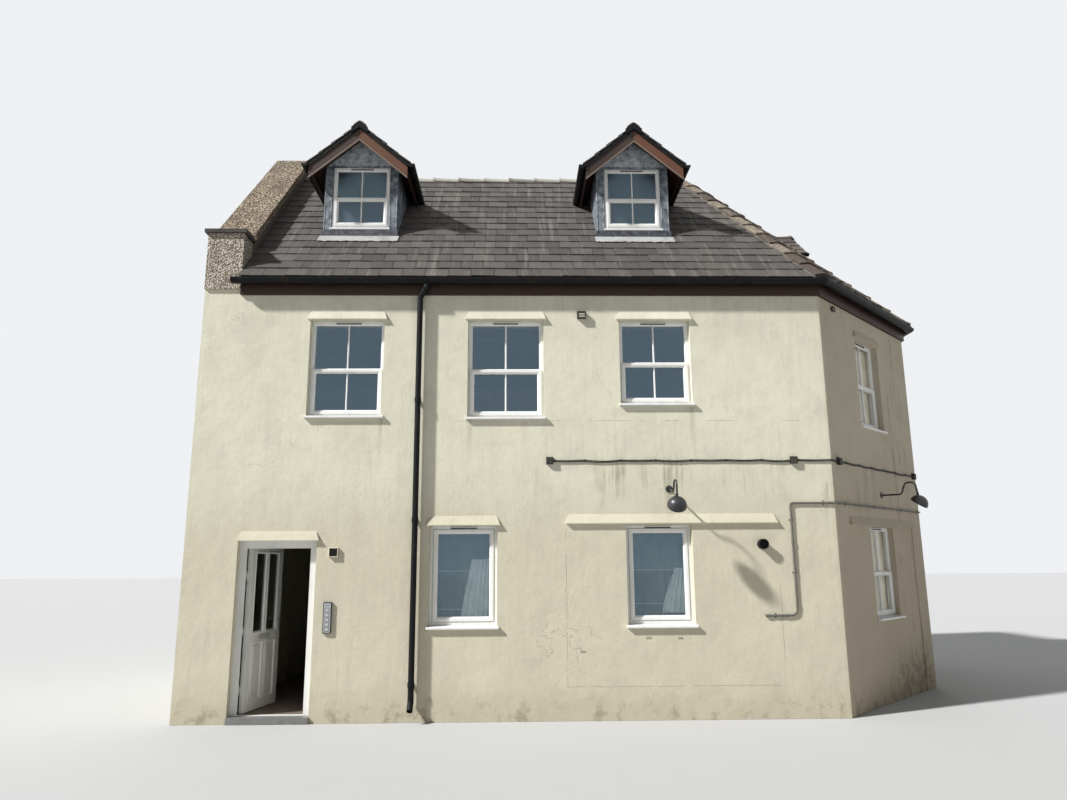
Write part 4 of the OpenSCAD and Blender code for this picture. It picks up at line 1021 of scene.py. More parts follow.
@dataclass(frozen=True)
class Plan:
    """The building's measured plan and roof."""

    front_w: float = 8.05
    splay_w: float = 3.07
    span: float = 5.30
    side_w: float = 4.73
    wall_t: float = 0.40
    party_t: float = 0.47
    eaves_z: float = 5.61
    pitch: float = 45.0
    eaves_over: float = 0.12
    verge_over: float = 0.09

    @property
    def side_x(self) -> float:
        """The plane of the side wall."""
        return self.front_w + self.splay_w * math.cos(math.radians(45))

    @property
    def splay_y(self) -> float:
        """The end of the splay."""
        return self.splay_w * math.sin(math.radians(45))

    @property
    def end_y(self) -> float:
        """The plane of the rear gable."""
        return self.splay_y + self.side_w

    @property
    def wing_x(self) -> float:
        """The plane of the wing's inner wall."""
        return self.side_x - self.span

    def front(self) -> WallFrame:
        """The front wall."""
        return WallFrame((0, 0), 0)

    def splay(self) -> WallFrame:
        """The splayed wall."""
        return WallFrame((self.front_w, 0), 45)

    def side(self) -> WallFrame:
        """The side wall."""
        return WallFrame((self.side_x, self.splay_y), 90)

    def gable(self) -> WallFrame:
        """The rear gable."""
        return WallFrame((self.side_x, self.end_y), 180)

    def wing(self) -> WallFrame:
        """The wing's inner wall."""
        return WallFrame((self.wing_x, self.end_y), 270)

    def rear(self) -> WallFrame:
        """The rear wall of the main range."""
        return WallFrame((self.wing_x, self.span), 180)

    def cross(self, first: WallFrame, a: float, second: WallFrame, b: float) -> Point2:
        """Finds the plan point at given distances inside two walls.

        Args:
            first: One wall.
            a: The distance inside it.
            second: The other wall.
            b: The distance inside that.

        Returns:
            The point's x and y.
        """
        rows = []
        for wall, depth in ((first, a), (second, b)):
            turn = math.radians(wall.turn)
            x, y = -math.sin(turn), math.cos(turn)
            rows.append((x, y, depth + x * wall.corner[0] + y * wall.corner[1]))
        (a1, b1, c1), (a2, b2, c2) = rows
        det = a1 * b2 - a2 * b1
        return ((c1 * b2 - c2 * b1) / det, (a1 * c2 - a2 * c1) / det)

    def half_span(self) -> float:
        """The distance from an eaves wall to its ridge."""
        return self.span / 2

    def main_apex(self) -> Point2:
        """Where the main ridge meets the splay's hip."""
        return self.cross(self.front(), self.half_span(), self.splay(), self.half_span())

    def wing_apex(self) -> Point2:
        """Where the wing's ridge meets the splay's hip."""
        return self.cross(self.side(), self.half_span(), self.splay(), self.half_span())

    def dip(self) -> Point2:
        """Where the valley meets the splay's slope."""
        depth = (self.front_w - self.wing_x + self.span) / (2 + math.sqrt(2))
        return (self.wing_x + depth, self.span - depth)


PLAN = Plan()


def clipped(outline: List[Point2], planes: Iterable[Point3]) -> List[Point2]:
    """Cuts a convex outline by straight lines.

    Args:
        outline: The outline's corners.
        planes: Lines (a, b, c); the side where a u + b s + c is positive stays.

    Returns:
        What is left of the outline, or nothing.
    """
    for a, b, c in planes:
        kept: List[Point2] = []
        for k, here in enumerate(outline):
            nxt = outline[(k + 1) % len(outline)]
            d_here = a * here[0] + b * here[1] + c
            d_next = a * nxt[0] + b * nxt[1] + c
            if d_here >= 0:
                kept.append(here)
            if d_here * d_next < 0:
                t = d_here / (d_here - d_next)
                kept.append((here[0] + t * (nxt[0] - here[0]), here[1] + t * (nxt[1] - here[1])))
        outline = kept
        if len(outline) < 3:
            return []
    return outline


def area(outline: Sequence[Point2]) -> float:
    """Gives an outline's area."""
    return 0.5 * abs(sum(
        a[0] * b[1] - b[0] * a[1] for a, b in zip(outline, list(outline[1:]) + [outline[0]])))


def sides_of(outline: Sequence[Point2], margin: float = 0.0) -> List[Point3]:
    """Turns a convex outline into the lines that bound it.

    Args:
        outline: The outline's corners, in either sense.
        margin: How far outside the outline the lines lie.

    Returns:
        The lines, with the outline on their positive side.
    """
    middle = (sum(p[0] for p in outline) / len(outline), sum(p[1] for p in outline) / len(outline))
    planes = []
    for here, nxt in zip(outline, list(outline[1:]) + [outline[0]]):
        a, b = here[1] - nxt[1], nxt[0] - here[0]
        size = math.hypot(a, b)
        a, b = a / size, b / size
        c = -(a * here[0] + b * here[1])
        if a * middle[0] + b * middle[1] + c < 0:
            a, b, c = -a, -b, -c
        planes.append((a, b, c + margin))
    return planes


@dataclass
class TileCourses:
    """Plain tiles laid in broken bond on one slope, each its own slightly uneven solid."""

    place: Matrix
    start_s: float
    end_s: float
    u_range: Point2
    width: float = 0.30
    gauge: float = 0.236
    lap: float = 0.07
    thick: float = 0.013
    joint: float = 0.005
    least: float = 0.0012
    cant: float = 0.0035
    slip: float = 0.004
    skew: float = 0.0025
    lift: float = 0.0022
    uneven: float = 0.0015
    chipped: float = 0.002
    seed: int = 1

    def lay(self, shape: Shape, regions: Sequence[Sequence[Point3]]) -> None:
        """Lays the courses from the eaves up.

        Args:
            shape: The mesh to add to.
            regions: Bounding lines of the parts of the slope that are tiled.
        """
        chance = random.Random(self.seed)
        course = 0
        s = self.start_s
        while s < self.end_s:
            u = self.u_range[0] - (self.width / 2 if course % 2 else 0.0)
            while u < self.u_range[1]:
                self.tile(shape, chance, u, s, regions)
                u += self.width
            s += self.gauge
            course += 1

    def tile(self, shape: Shape, chance: random.Random, u: float, s: float,
             regions: Sequence[Sequence[Point3]]) -> None:
        """Lays one tile, cut to the slope.

        Args:
            shape: The mesh to add to.
            chance: The source of the tile's unevenness.
            u: Its left edge.
            s: Its lower edge.
            regions: Bounding lines of the parts of the slope that are tiled.
        """
        slip = chance.uniform(-self.slip, self.slip)
        skew = chance.uniform(-self.skew, self.skew)
        lift = chance.uniform(0.0, self.lift)
        thick = self.thick + chance.uniform(-self.uneven, self.uneven)
        left, right = u + self.joint / 2, u + self.width - self.joint / 2
        foot, head = s + slip, s + self.gauge + self.lap
        outline = [(left, foot + skew + chance.uniform(-self.uneven, self.uneven))]
        for k in (0.3, 0.65):
            outline.append((left + k * (right - left), foot + chance.uniform(-self.chipped, self.chipped)))
        outline += [(right, foot - skew + chance.uniform(-self.uneven, self.uneven)), (right, head),
                    (left, head)]
        for region in regions:
            part = clipped(outline, region)
            if len(part) < 3 or area(part) < self.least:
                continue
            under = [(p[0], p[1], 0.002 + thick * (1 - (p[1] - s) / self.gauge) + lift
                      + self.cant * (right - p[0]) / self.width) for p in part]
            shape.rings([under, [(a, b, h + thick) for a, b, h in under]], self.place)


@dataclass
class Dormer:
    """One gabled dormer, in the frame of the wall it stands behind."""

    name: str
    wall: WallFrame
    centre: float
    inset: float
    ridge_z: float = 8.02
    pitch: float = 40.0
    half: float = 0.70
    over: float = 0.30
    width: float = 1.055
    window_w: float = 0.815
    head_z: float = 7.51
    sill_up: float = 0.165
    flashing: float = 0.045
    tile_out: float = 0.022
    under_ridge: float = 0.0587

    def place(self) -> Matrix:
        """The dormer's own frame: x across it, y into the building, z up."""
        return self.wall.place() @ shift(self.centre, 0, 0)

    @property
    def slant(self) -> float:
        """The tangent of the roof's pitch."""
        return math.tan(math.radians(self.pitch))

    @property
    def reach(self) -> float:
        """The distance inside the wall at which the ridge enters the main roof."""
        return self.ridge_z - PLAN.eaves_z

    @property
    def eaves_z(self) -> float:
        """The height of the tiles at the dormer's eaves."""
        return self.ridge_z - self.half * self.slant

    @property
    def sill_z(self) -> float:
        """The level of the window's sill."""
        return PLAN.eaves_z + self.inset + self.sill_up

    def gaps(self, to_slope: float) -> List[List[Point3]]:
        """Gives the parts of the main slope that are tiled round the dormer.

        Args:
            to_slope: The slope distance for each metre of plan distance.

        Returns:
            Bounding lines of each part, in the slope's own u and s.
        """
        side = self.width / 2 - self.flashing
        centre = self.centre
        k = self.slant * to_slope
        top = (self.reach - 0.06) * to_slope
        foot = (self.inset + self.flashing) * to_slope
        return [
            [(-1, 0, centre - side)],
            [(1, 0, -centre - side)],
            [(1, 0, -centre + side), (-1, 0, centre + side), (0, -1, foot)],
            [(1, 0, -centre + side), (-1, 0, centre), (-k, 1, k * centre - top)],
            [(1, 0, -centre), (-1, 0, centre + side), (k, 1, -k * centre - top)]]

    def roof_frame(self, hand: int) -> Matrix:
        """The frame of the slope on the +x side (hand 1) or the other (-1), with s up from its eaves."""
        return (self.place() @ shift(hand * self.half, 0, self.eaves_z) @ spin(90 * hand, "Z")
                @ spin(self.pitch, "X"))

    def roof_tiles(self, shape: Shape, seed: int) -> None:
        """Tiles both slopes of the dormer.

        Args:
            shape: The mesh to add to.
            seed: The seed of the tiles' unevenness.
        """
        tilt = math.cos(math.radians(self.pitch))
        length = self.half / tilt
        front = self.inset - self.over - self.tile_out
        for hand in (1, -1):
            valley = (-hand, self.slant * tilt, self.reach - self.slant * self.half + 0.03)
            u_range = (front, self.reach) if hand > 0 else (-self.reach, -front)
            courses = TileCourses(self.roof_frame(hand), -0.035, length, u_range, gauge=0.225,
                                  seed=seed + hand)
            courses.lay(shape, [[(hand, 0, -front), valley, (0, -1, length - 0.01)]])

    def normal(self, hand: int) -> Vector:
        """The outward normal of one of the dormer's slopes."""
        return (self.roof_frame(hand).to_3x3() @ Vector((0, 0, 1))).normalized()


@dataclass
class Slope:
    """One slope of the main roof."""

    name: str
    wall: WallFrame
    corners: List[Point2]
    dormers: List[Dormer] = field(default_factory=list)
    split: Optional[Point2] = None
    valley_gap: float = 0.12
    eaves_run: float = 0.04
    seed: int = 1

    def place(self) -> Matrix:
        """The slope's frame: u along the eaves, s up the slope from the wall face, h off the tiles."""
        return self.wall.place() @ shift(0, 0, PLAN.eaves_z) @ spin(PLAN.pitch, "X")

    def flat(self, point: Point2) -> Point2:
        """Puts a plan point into the slope's frame, as its u and s."""
        u, depth = self.wall.inside(point)
        return (u, depth / math.cos(math.radians(PLAN.pitch)))

    def normal(self) -> Vector:
        """The slope's outward normal."""
        return (self.place().to_3x3() @ Vector((0, 0, 1))).normalized()

    def lifted(self, point: Point2) -> Vector:
        """Lifts a plan point onto the slope's tiles."""
        rise = self.wall.inside(point)[1] * math.tan(math.radians(PLAN.pitch))
        return Vector((*point, PLAN.eaves_z + rise))

    def tiles(self) -> None:
        """Makes the slope's tile courses."""
        shape = Shape()
        outline = [self.flat(p) for p in self.corners]
        us, heights = zip(*outline)
        low, high = min(heights), max(heights)
        regions = [sides_of(outline)]
        if self.split is not None:
            notch = self.flat(self.split)
            foot = ((outline[0][0] + outline[1][0]) / 2, low)
            halves = [[outline[0], foot, notch, outline[-1]], [foot, outline[1], outline[2], notch]]
            level = notch[1] - self.valley_gap
            regions = [[*regions[0], (0.0, -1.0, level)],
                       *([*sides_of(half), (0.0, 1.0, -level)] for half in halves)]
        for dormer in self.dormers:
            gaps = dormer.gaps(1 / math.cos(math.radians(PLAN.pitch)))
            regions = [region + gap for region in regions for gap in gaps]
        courses = TileCourses(self.place(), low - 0.03, high, (min(us), max(us)), seed=self.seed)
        courses.lay(shape, [self.loosened(region, low) for region in regions])
        finish = {0: TILE, 180: TILE, 45: SPLAY_TILE}.get(self.wall.turn, SIDE_TILE)
        shape.piece(f"{self.name}_tiles", finish, "tile", bevel=0.0022)

    def loosened(self, region: Sequence[Point3], low: float) -> List[Point3]:
        """Lets the first course run past the eaves into the gutter.

        Args:
            region: The bounding lines of a tiled part.
            low: The slope's lowest s.

        Returns:
            The lines, with the one along the eaves moved out.
        """
        moved = []
        for a, b, c in region:
            along_eaves = abs(a) < 1e-6 and b > 0 and abs(-c / b - low) < 1e-3
            moved.append((a, b, c + self.eaves_run if along_eaves else c))
        return moved


@dataclass
class CapRun:
    """Ridge or hip tiles, each lapping over the one below and bedded in mortar."""

    start: Vector
    end: Vector
    first: Vector
    second: Vector
    gauge: float = 0.36
    leg: float = 0.15
    thick: float = 0.014
    lift: float = 0.030
    roll: float = 0.006
    bend: float = 0.055
    overlap: float = 0.045
    bed_step: float = 0.07
    seed: int = 3

    def __post_init__(self) -> None:
        """Works out the legs' directions."""
        self.way = (self.end - self.start).normalized()
        self.legs = []
        for normal, other in ((self.first, self.second), (self.second, self.first)):
            leg = self.way.cross(normal).normalized()
            self.legs.append(leg if leg.dot(other) < 0 else -leg)

    def profile(self, base: Vector, lift: float, leg: float) -> List[Vector]:
        """Gives the folded line over the edge.

        Args:
            base: The point on the edge.
            lift: The height off the tiles.
            leg: The length of each leg.

        Returns:
            Points from one leg's end over the crown to the other's.
        """
        middle = (self.first + self.second).normalized()
        crown = base + middle * (lift / middle.dot(self.first))
        leg_a, leg_b = self.legs
        bend = self.bend
        return [
            crown + leg_a * leg, crown + leg_a * (leg + bend) / 2,
            *(crown + leg_a * (bend * (1 - t) ** 2) + leg_b * (bend * t ** 2)
              for t in (0.0, 0.25, 0.5, 0.75, 1.0)),
            crown + leg_b * (leg + bend) / 2, crown + leg_b * leg]

    def ring(self, along: float, lift: float, leg: float, thick: float) -> List[Vector]:
        """Gives the closed section at a distance along, with a lift off the tiles, a leg and a thickness."""
        base = self.start + self.way * along
        return self.profile(base, lift + thick, leg) + list(reversed(self.profile(base, lift, leg)))

    def caps(self, shape: Shape) -> None:
        """Lays the caps from the lower end.

        Args:
            shape: The mesh to add to.
        """
        chance = random.Random(self.seed)
        length = (self.end - self.start).length
        count = max(1, round(length / self.gauge))
        gauge = length / count
        foot = self.lift + self.thick + 0.004
        rolled = self.thick + self.roll
        for k in range(count):
            low = k * gauge
            high = min(length, low + gauge + self.overlap)
            tilt = chance.uniform(-0.003, 0.003)
            leg = self.leg + chance.uniform(-0.004, 0.004)
            shape.rings([
                self.ring(low + max(0.0, tilt), foot - 0.002, leg - 0.004, rolled - 0.002),
                self.ring(low + 0.012 + tilt / 2, foot, leg, rolled),
                self.ring(low + self.overlap, foot - 0.002, leg - 0.001, self.thick + self.roll * 0.7),
                self.ring(low + 0.060, foot - 0.004, leg - 0.002, self.thick),
                self.ring(high, self.lift - 0.002, leg - 0.006, self.thick - 0.002)])

    def bedding(self, shape: Shape) -> None:
        """Lays the mortar under the caps.

        Args:
            shape: The mesh to add to.
        """
        chance = random.Random(self.seed + 50)
        length = (self.end - self.start).length
        steps = max(2, round(length / self.bed_step))
        rings = []
        for k in range(steps + 1):
            leg = self.leg + 0.006 + chance.uniform(-0.009, 0.006)
            thick = self.lift - 0.001 + chance.uniform(-0.002, 0.002)
            rings.append(self.ring(length * k / steps, 0.004, leg, thick))
        shape.rings(rings)


@dataclass
class Roof:
    """The main roof, its ridges, hips and valley, and the dormers' roofs."""

    dormers: List[Dormer]
    ridge_gauge: float = 0.42
    ridge_lift: float = 0.018
    ridge_roll: float = 0.003
    valley_w: Point2 = (0.13, 0.115)
    valley_h: Point2 = (0.034, 0.030)
    valley_t: float = 0.003
    valley_steps: int = 14
    end_block: float = 0.015
    dormer_gauge: float = 0.40
    dormer_leg: float = 0.12

    def __post_init__(self) -> None:
        """Works out the slopes."""
        over, verge, party = PLAN.eaves_over, PLAN.verge_over, PLAN.party_t
        front, splay, side = PLAN.front(), PLAN.splay(), PLAN.side()
        gable, wing, rear = PLAN.gable(), PLAN.wing(), PLAN.rear()
        apex, wing_apex, dip = PLAN.main_apex(), PLAN.wing_apex(), PLAN.dip()
        self.ridge_end = end = (PLAN.side_x - PLAN.half_span(), PLAN.end_y + verge)
        self.ridge_start = start = (party, PLAN.half_span())
        left, right = PLAN.cross(front, -over, splay, -over), PLAN.cross(splay, -over, side, -over)
        self.hip_feet = (left, right)
        self.valley_foot = foot = PLAN.cross(wing, -over, rear, -over)
        self.front = Slope("front_slope", front, [(party, -over), left, apex, start], self.dormers[:2],
                           seed=11)
        self.splay = Slope("splay_slope", splay, [left, right, wing_apex, apex], split=dip, seed=12)
        self.side = Slope("side_slope", side, [right, PLAN.cross(side, -over, gable, -verge), end, wing_apex],
                          self.dormers[2:], seed=13)
        self.wing = Slope("wing_slope", wing, [
            PLAN.cross(wing, -over, gable, -verge), foot, dip, wing_apex, end], seed=14)
        self.rear = Slope("rear_slope", rear, [foot, (party, PLAN.span + over), start, apex, dip], seed=15)

    @staticmethod
    def run(low: Point2, high: Point2, under: Slope, first: Slope, second: Slope, **sizes: float) -> CapRun:
        """Gives a run of caps between two slopes; the slope under it gives the heights of its ends."""
        return CapRun(under.lifted(low), under.lifted(high), first.normal(), second.normal(), **sizes)

    def build(self) -> None:
        """Makes all the pieces of the roof."""
        front, splay, side, wing, rear = self.front, self.splay, self.side, self.wing, self.rear
        for slope in (front, splay, side, wing, rear):
            slope.tiles()
        apex, wing_apex, dip = PLAN.main_apex(), PLAN.wing_apex(), PLAN.dip()
        plain = {"gauge": self.ridge_gauge, "lift": self.ridge_lift, "roll": self.ridge_roll}
        hips = [
            self.run(self.hip_feet[0], apex, front, front, splay, seed=21),
            self.run(self.hip_feet[1], wing_apex, side, splay, side, seed=22),
            self.run(dip, apex, splay, splay, rear, seed=23),
            self.run(dip, wing_apex, splay, splay, wing, seed=24)]
        ridges = [
            self.run(self.ridge_start, apex, front, front, rear, seed=31, **plain),
            self.run(self.ridge_end, wing_apex, side, side, wing, seed=32, **plain)]
        hip_shape, ridge_shape, bed_shape = Shape(), Shape(), Shape()
        for runs, shape in ((hips, hip_shape), (ridges, ridge_shape)):
            for run in runs:
                run.caps(shape)
                run.bedding(bed_shape)
        hip_shape.piece("hip_caps", HIP_TILE, "hip", bevel=0.002, stands_for=["hip_tiles"])
        ridge_shape.piece("ridge_caps", RIDGE_TILE, "ridge", bevel=0.002, stands_for=["ridge_tiles"])
        bed_shape.piece("cap_bedding", MORTAR, "ridge", smooth=True)
        self.valley()
        self.dormer_roofs()

    def valley(self) -> None:
        """Lays the lead in the valley between the wing and the main range."""
        shape = Shape()
        foot, head = self.rear.lifted(self.valley_foot), self.rear.lifted(PLAN.dip())
        way = (head - foot).normalized()
        normals = (self.wing.normal(), self.rear.normal())
        rings = []
        for k in range(self.valley_steps + 1):
            base = foot + (head - foot) * (k / self.valley_steps)
            edges = []
            for normal, other in (normals, normals[::-1]):
                leg = way.cross(normal).normalized()
                if leg.dot(other) < 0:
                    leg = -leg
                edges.append([base + leg * w + normal * h for w, h in zip(self.valley_w, self.valley_h)])
            crease = base + (normals[0] + normals[1]).normalized() * self.valley_h[1]
            over = [*edges[0], crease, *reversed(edges[1])]
            rings.append(over + [p - (normals[0] + normals[1]) * (self.valley_t / 2) for p in reversed(over)])
        shape.rings(rings)
        shape.piece("valley_lead", LEAD, "lead", smooth=True)

    def dormer_roofs(self) -> None:
        """Tiles the dormers and caps their ridges."""
        tiles, caps, bed = Shape(), Shape(), Shape()
        for k, dormer in enumerate(self.dormers):
            dormer.roof_tiles(tiles, 40 + 5 * k)
            start, end = (dormer.place() @ Vector((0, y, dormer.ridge_z)) for y in (
                dormer.inset - dormer.over - self.end_block, dormer.reach + 0.02))
            run = CapRun(start, end, dormer.normal(1), dormer.normal(-1), gauge=self.dormer_gauge,
                         leg=self.dormer_leg, seed=60 + k)
            run.caps(caps)
            run.bedding(bed)
        tiles.piece("dormer_tiles", TILE, "tile", bevel=0.0022)
        caps.piece("dormer_ridge_caps", HIP_TILE, "ridge", bevel=0.002)
        bed.piece("dormer_bedding", MORTAR, "ridge", smooth=True)


@dataclass
class SashWindow:
    """A white window: a fixed light over an opening one, or a single light."""

    wall: Matrix
    x: float
    z: float
    width: float
    height: float
    depth: float = 0.09
    two_lights: bool = True
    frame_w: float = 0.055
    frame_d: float = 0.07
    proud: float = 0.018
    lower: float = 0.48
    bar_w: float = 0.024
    glass_t: float = 0.024
    bar_out: float = 0.011
    single_in: float = 0.045
    bead: Outline = ((0.022, 0.0), (0.018, 0.003), (0.016, 0.007), (0.002, 0.016), (0.0, 0.020))
    vent_half: float = 0.17
    vent_down: float = 0.020
    hood: Outline = ((0.002, 0.013), (-0.010, 0.012), (-0.017, 0.004), (-0.017, -0.003), (0.002, -0.003))
    # The black strip under the hood: painted shadow of the hood.
    slot: Outline = ((0.001, -0.0035), (-0.012, -0.0035), (-0.008, -0.015), (0.001, -0.017))
    ear: float = 0.020
    nose: Outline = (
        (0.006, 0.012), (0.001, 0.015), (0.0, 0.020), (0.0, 0.036), (0.003, 0.040), (0.010, 0.040),
        (0.011, 0.035), (0.017, 0.035), (0.018, 0.039))

    def build(self, shape: Shape, slots: Shape) -> None:
        """Adds the frame, sash, bars and vent.

        Args:
            shape: The mesh to add to.
            slots: The mesh of the black strips under the vents, painted shadow of their hoods.
        """
        low = (self.x, self.z)
        high = (self.x + self.width, self.z + self.height)
        self.member(shape, low, high, self.depth, self.depth + self.frame_d)
        half = self.frame_w / 2
        if self.two_lights:
            rail = self.z + self.height * self.lower
            self.rail(shape, rail)
            sash_top = self.z + half + self.height * self.lower - half / 2
            self.member(shape, (low[0] + half, low[1] + half), (high[0] - half, sash_top),
                        self.depth - self.proud, self.depth + self.frame_d)
            self.bar(shape, rail + half - 0.004, high[1] - self.frame_w + 0.004)
            self.bar(shape, low[1] + 1.5 * self.frame_w - 0.004, sash_top - self.frame_w + 0.004)
        else:
            inset = self.single_in
            self.member(shape, (low[0] + inset, low[1] + inset), (high[0] - inset, high[1] - inset),
                        self.depth - self.proud / 2, self.depth + self.frame_d)
        self.vent(shape, slots, high[1] - self.vent_down)

    def member(self, shape: Shape, low: Point2, high: Point2, front: float, back: float) -> None:
        """Adds a mitred frame with a sloped bead towards the glass.

        Args:
            shape: The mesh to add to.
            low: The frame's lowest corner.
            high: The frame's highest corner.
            front: The depth of its face.
            back: The depth of its back.
        """
        w = self.frame_w
        profile = [(0.0, front + 0.003), (0.003, front),
                   *((w - inside, front + deep) for inside, deep in self.bead),
                   (w, back - 0.004), (w - 0.004, back), (0.0, back)]
        shape.framed(low, high, profile, self.wall)

    def rail(self, shape: Shape, middle: float) -> None:
        """Adds the meeting rail.

        Args:
            shape: The mesh to add to.
            middle: The height of its middle line.
        """
        low, high = middle - self.frame_w / 2, middle + self.frame_w / 2
        front, back = self.depth, self.depth + self.frame_d
        outline = [(front + 0.012, low), (front, low + 0.008), (front, high - 0.012), (front + 0.012, high),
                   (back, high), (back, low)]
        inset = self.frame_w - 0.006
        shape.prism(outline, self.x + inset, self.x + self.width - inset, Axis.X, self.wall)

    def bar(self, shape: Shape, low: float, high: float) -> None:
        """Adds an upright glazing bar on each face of the glass.

        Args:
            shape: The mesh to add to.
            low: Its foot.
            high: Its head.
        """
        middle, half = self.x + self.width / 2, self.bar_w / 2
        glass = self.depth + (self.frame_d - self.glass_t) / 2
        for face, out in ((glass, -self.bar_out), (glass + self.glass_t, self.bar_out)):
            outline = [(middle - half, face), (middle - half * 0.55, face + out),
                       (middle + half * 0.55, face + out), (middle + half, face)]
            shape.prism(outline, low, high, Axis.Z, self.wall)

    def vent(self, shape: Shape, slots: Shape, z: float) -> None:
        """Adds the hooded trickle vent at the head, with a black strip under it as painted shadow of the
        hood.

        Args:
            shape: The mesh to add to.
            slots: The mesh of the black strips of painted shadow.
            z: The height of its middle line.
        """
        middle = self.x + self.width / 2
        left, right = middle - self.vent_half, middle + self.vent_half
        shape.prism([(self.depth + out, z + up) for out, up in self.hood], left, right, Axis.X, self.wall)
        slots.prism([(self.depth + out, z + up) for out, up in self.slot], left + 0.006, right - 0.006,
                    Axis.X, self.wall)

    def sill(self, shape: Shape, wall_t: float, out: float) -> None:
        """Adds the sloped sill with its horns and drip.

        Args:
            shape: The mesh to add to.
            wall_t: How far the sill runs into the building.
            out: How far it stands out.
        """
        z = self.z
        inner = [(0.0, z - 0.007), (self.depth, z - 0.0005), (wall_t, z - 0.0005), (wall_t, z - 0.039),
                 (0.0, z - 0.039)]
        nose = [(-out + back, z - down) for back, down in self.nose]
        shape.prism(inner, self.x + 0.001, self.x + self.width - 0.001, Axis.X, self.wall)
        shape.prism([(0.002, z - 0.007), *nose, (0.002, z - 0.039)], self.x - self.ear,
                    self.x + self.width + self.ear, Axis.X, self.wall)


@dataclass
class Glazing:
    """All the windows of the building, in the order of their nodes."""

    dormers: List[Dormer]
    upper: Tuple[Point4, ...] = (
        (1.39, 3.68, 0.96, 1.26), (3.43, 3.66, 0.98, 1.28), (5.395, 3.835, 0.925, 1.105))
    ground: Tuple[Point4, ...] = ((2.985, 1.095, 0.835, 1.195), (5.41, 1.095, 0.825, 1.195))
    other_w: float = 0.84
    other_heights: Tuple[Point2, ...] = ((3.68, 1.26), (1.095, 1.195))
    sill_out: float = 0.045
    dormer_depth: float = 0.01
    dormer_sill: Point2 = (0.09, 0.035)

    def sets(self) -> Dict[str, List[SashWindow]]:
        """Lists the windows by node."""
        front = PLAN.front().place()
        return {
            "front_windows": [SashWindow(front, *o) for o in self.upper]
            + [SashWindow(front, *o, two_lights=False) for o in self.ground],
            "splay_windows": self.pair(PLAN.splay(), PLAN.splay_w),
            "side_windows": self.pair(PLAN.side(), PLAN.side_w),
            "rear_windows": self.pair(PLAN.gable(), PLAN.span)
            + self.pair(PLAN.rear(), PLAN.wing_x - PLAN.party_t),
            "dormer_windows": [
                SashWindow(d.place() @ shift(0, d.inset, 0), -d.window_w / 2, d.sill_z, d.window_w,
                           d.head_z - d.sill_z, self.dormer_depth) for d in self.dormers]}

    def pair(self, wall: WallFrame, length: float) -> List[SashWindow]:
        """Gives the upper and the lower window in the middle of a wall of a given length."""
        x = (length - self.other_w) / 2
        return [SashWindow(wall.place(), x, z, self.other_w, height) for z, height in self.other_heights]

    def build(self) -> None:
        """Makes the frames and the sills."""
        sills, slots = Shape(), Shape()
        for node, windows in self.sets().items():
            shape = Shape()
            sill = self.dormer_sill if node == "dormer_windows" else (PLAN.wall_t, self.sill_out)
            for window in windows:
                window.build(shape, slots)
                window.sill(sills, *sill)
            shape.piece(f"{node}_dressed", WHITE_FRAME, "white_frame", bevel=0.0012, stands_for=[node])
        # Black strips under the vent hoods: painted shadow.
        slots.piece("vent_hood_shadows", HOOD_SHADOW_BLACK, "white_frame")
        sills.piece("sills_dressed", WHITE_FRAME, "white_frame", bevel=0.001, stands_for=["window_sills"])


@dataclass
class Curtain:
    """A curtain gathered on a wire behind a window, which may be drawn to one side."""

    name: str
    wall: Matrix
    x: float
    z: float
    width: float
    height: float
    start: float
    end: float
    finish: Finish
    lean: float = 0.0
    low: float = 0.017
    high: float = 0.977
    wire_y: float = 0.205
    wire_r: float = 0.004
    wire_down: float = 0.04
    wire_steps: int = 12
    thread: float = 0.0008
    fold: float = 0.0105
    fold_length: float = 0.068
    rows: int = 20

    def line(self, share: float) -> List[Point2]:
        """Gives the wavy line of the folds.

        Args:
            share: The height from 0 at the foot to 1 at the wire.

        Returns:
            Points across the curtain and in depth.
        """
        width = (self.end - self.start) * self.width
        aside = self.lean * self.width * share ** 1.3
        steps = int(width / 0.006)
        phase = random.Random(round(self.x * 1000)).uniform(0, 6)
        size = self.fold * (1 - 0.35 * share)
        points = []
        for k in range(steps + 1):
            t = k / steps * width
            turn = 2 * math.pi * t / self.fold_length
            wave = math.sin(turn + phase + 0.5 * math.sin(turn * 0.31 + phase) + 0.25 * (1 - share))
            second = 0.2 * math.sin(turn * 1.73 + 2 * phase)
            across = aside + t * (1 - aside / width)
            depth = self.wire_y + size * (wave + second) / 1.2
            points.append((self.x + self.start * self.width + across, depth))
        return points

    def cloth(self) -> None:
        foot, head = self.z + self.low * self.height, self.z + self.high * self.height
        points: List[Vector] = []
        for share in (k / self.rows for k in range(self.rows + 1)):
            z = foot + (head - foot) * share
            points.extend(self.wall @ Vector((x, y, z)) for x, y in self.line(share))
        size = len(points) // (self.rows + 1)
        faces = [(a, a + 1, a + 1 + size, a + size)
                 for k in range(self.rows) for a in range(k * size, (k + 1) * size - 1)]
        mesh = bpy.data.meshes.new(self.name)
        mesh.from_pydata([tuple(p) for p in points], [], faces)
        mesh.shade_smooth()
        obj = stand(mesh, self.finish, stands_for=["net_curtains"])
        obj.modifiers.new("thread", "SOLIDIFY").thickness = self.thread
        middle = self.line(0.5)

    def wire(self, shape: Shape, z: float, radius: float) -> None:
        """Adds a wire or rod across the opening, with its end hooks.

        Args:
            shape: The mesh to add to.
            z: Its height.
            radius: Its radius.
        """
        steps, y = self.wire_steps, self.wire_y
        shape.tube([(self.x + k / steps * self.width, y, z - 0.002 * math.sin(math.pi * k / steps))
                    for k in range(steps + 1)], radius, self.wall, 8)
        for x in (self.x + 0.004, self.x + self.width - 0.004):
            shape.block((x - 0.004, y - 0.008, z - 0.010), (x + 0.004, y + 0.008, z + 0.010), self.wall)


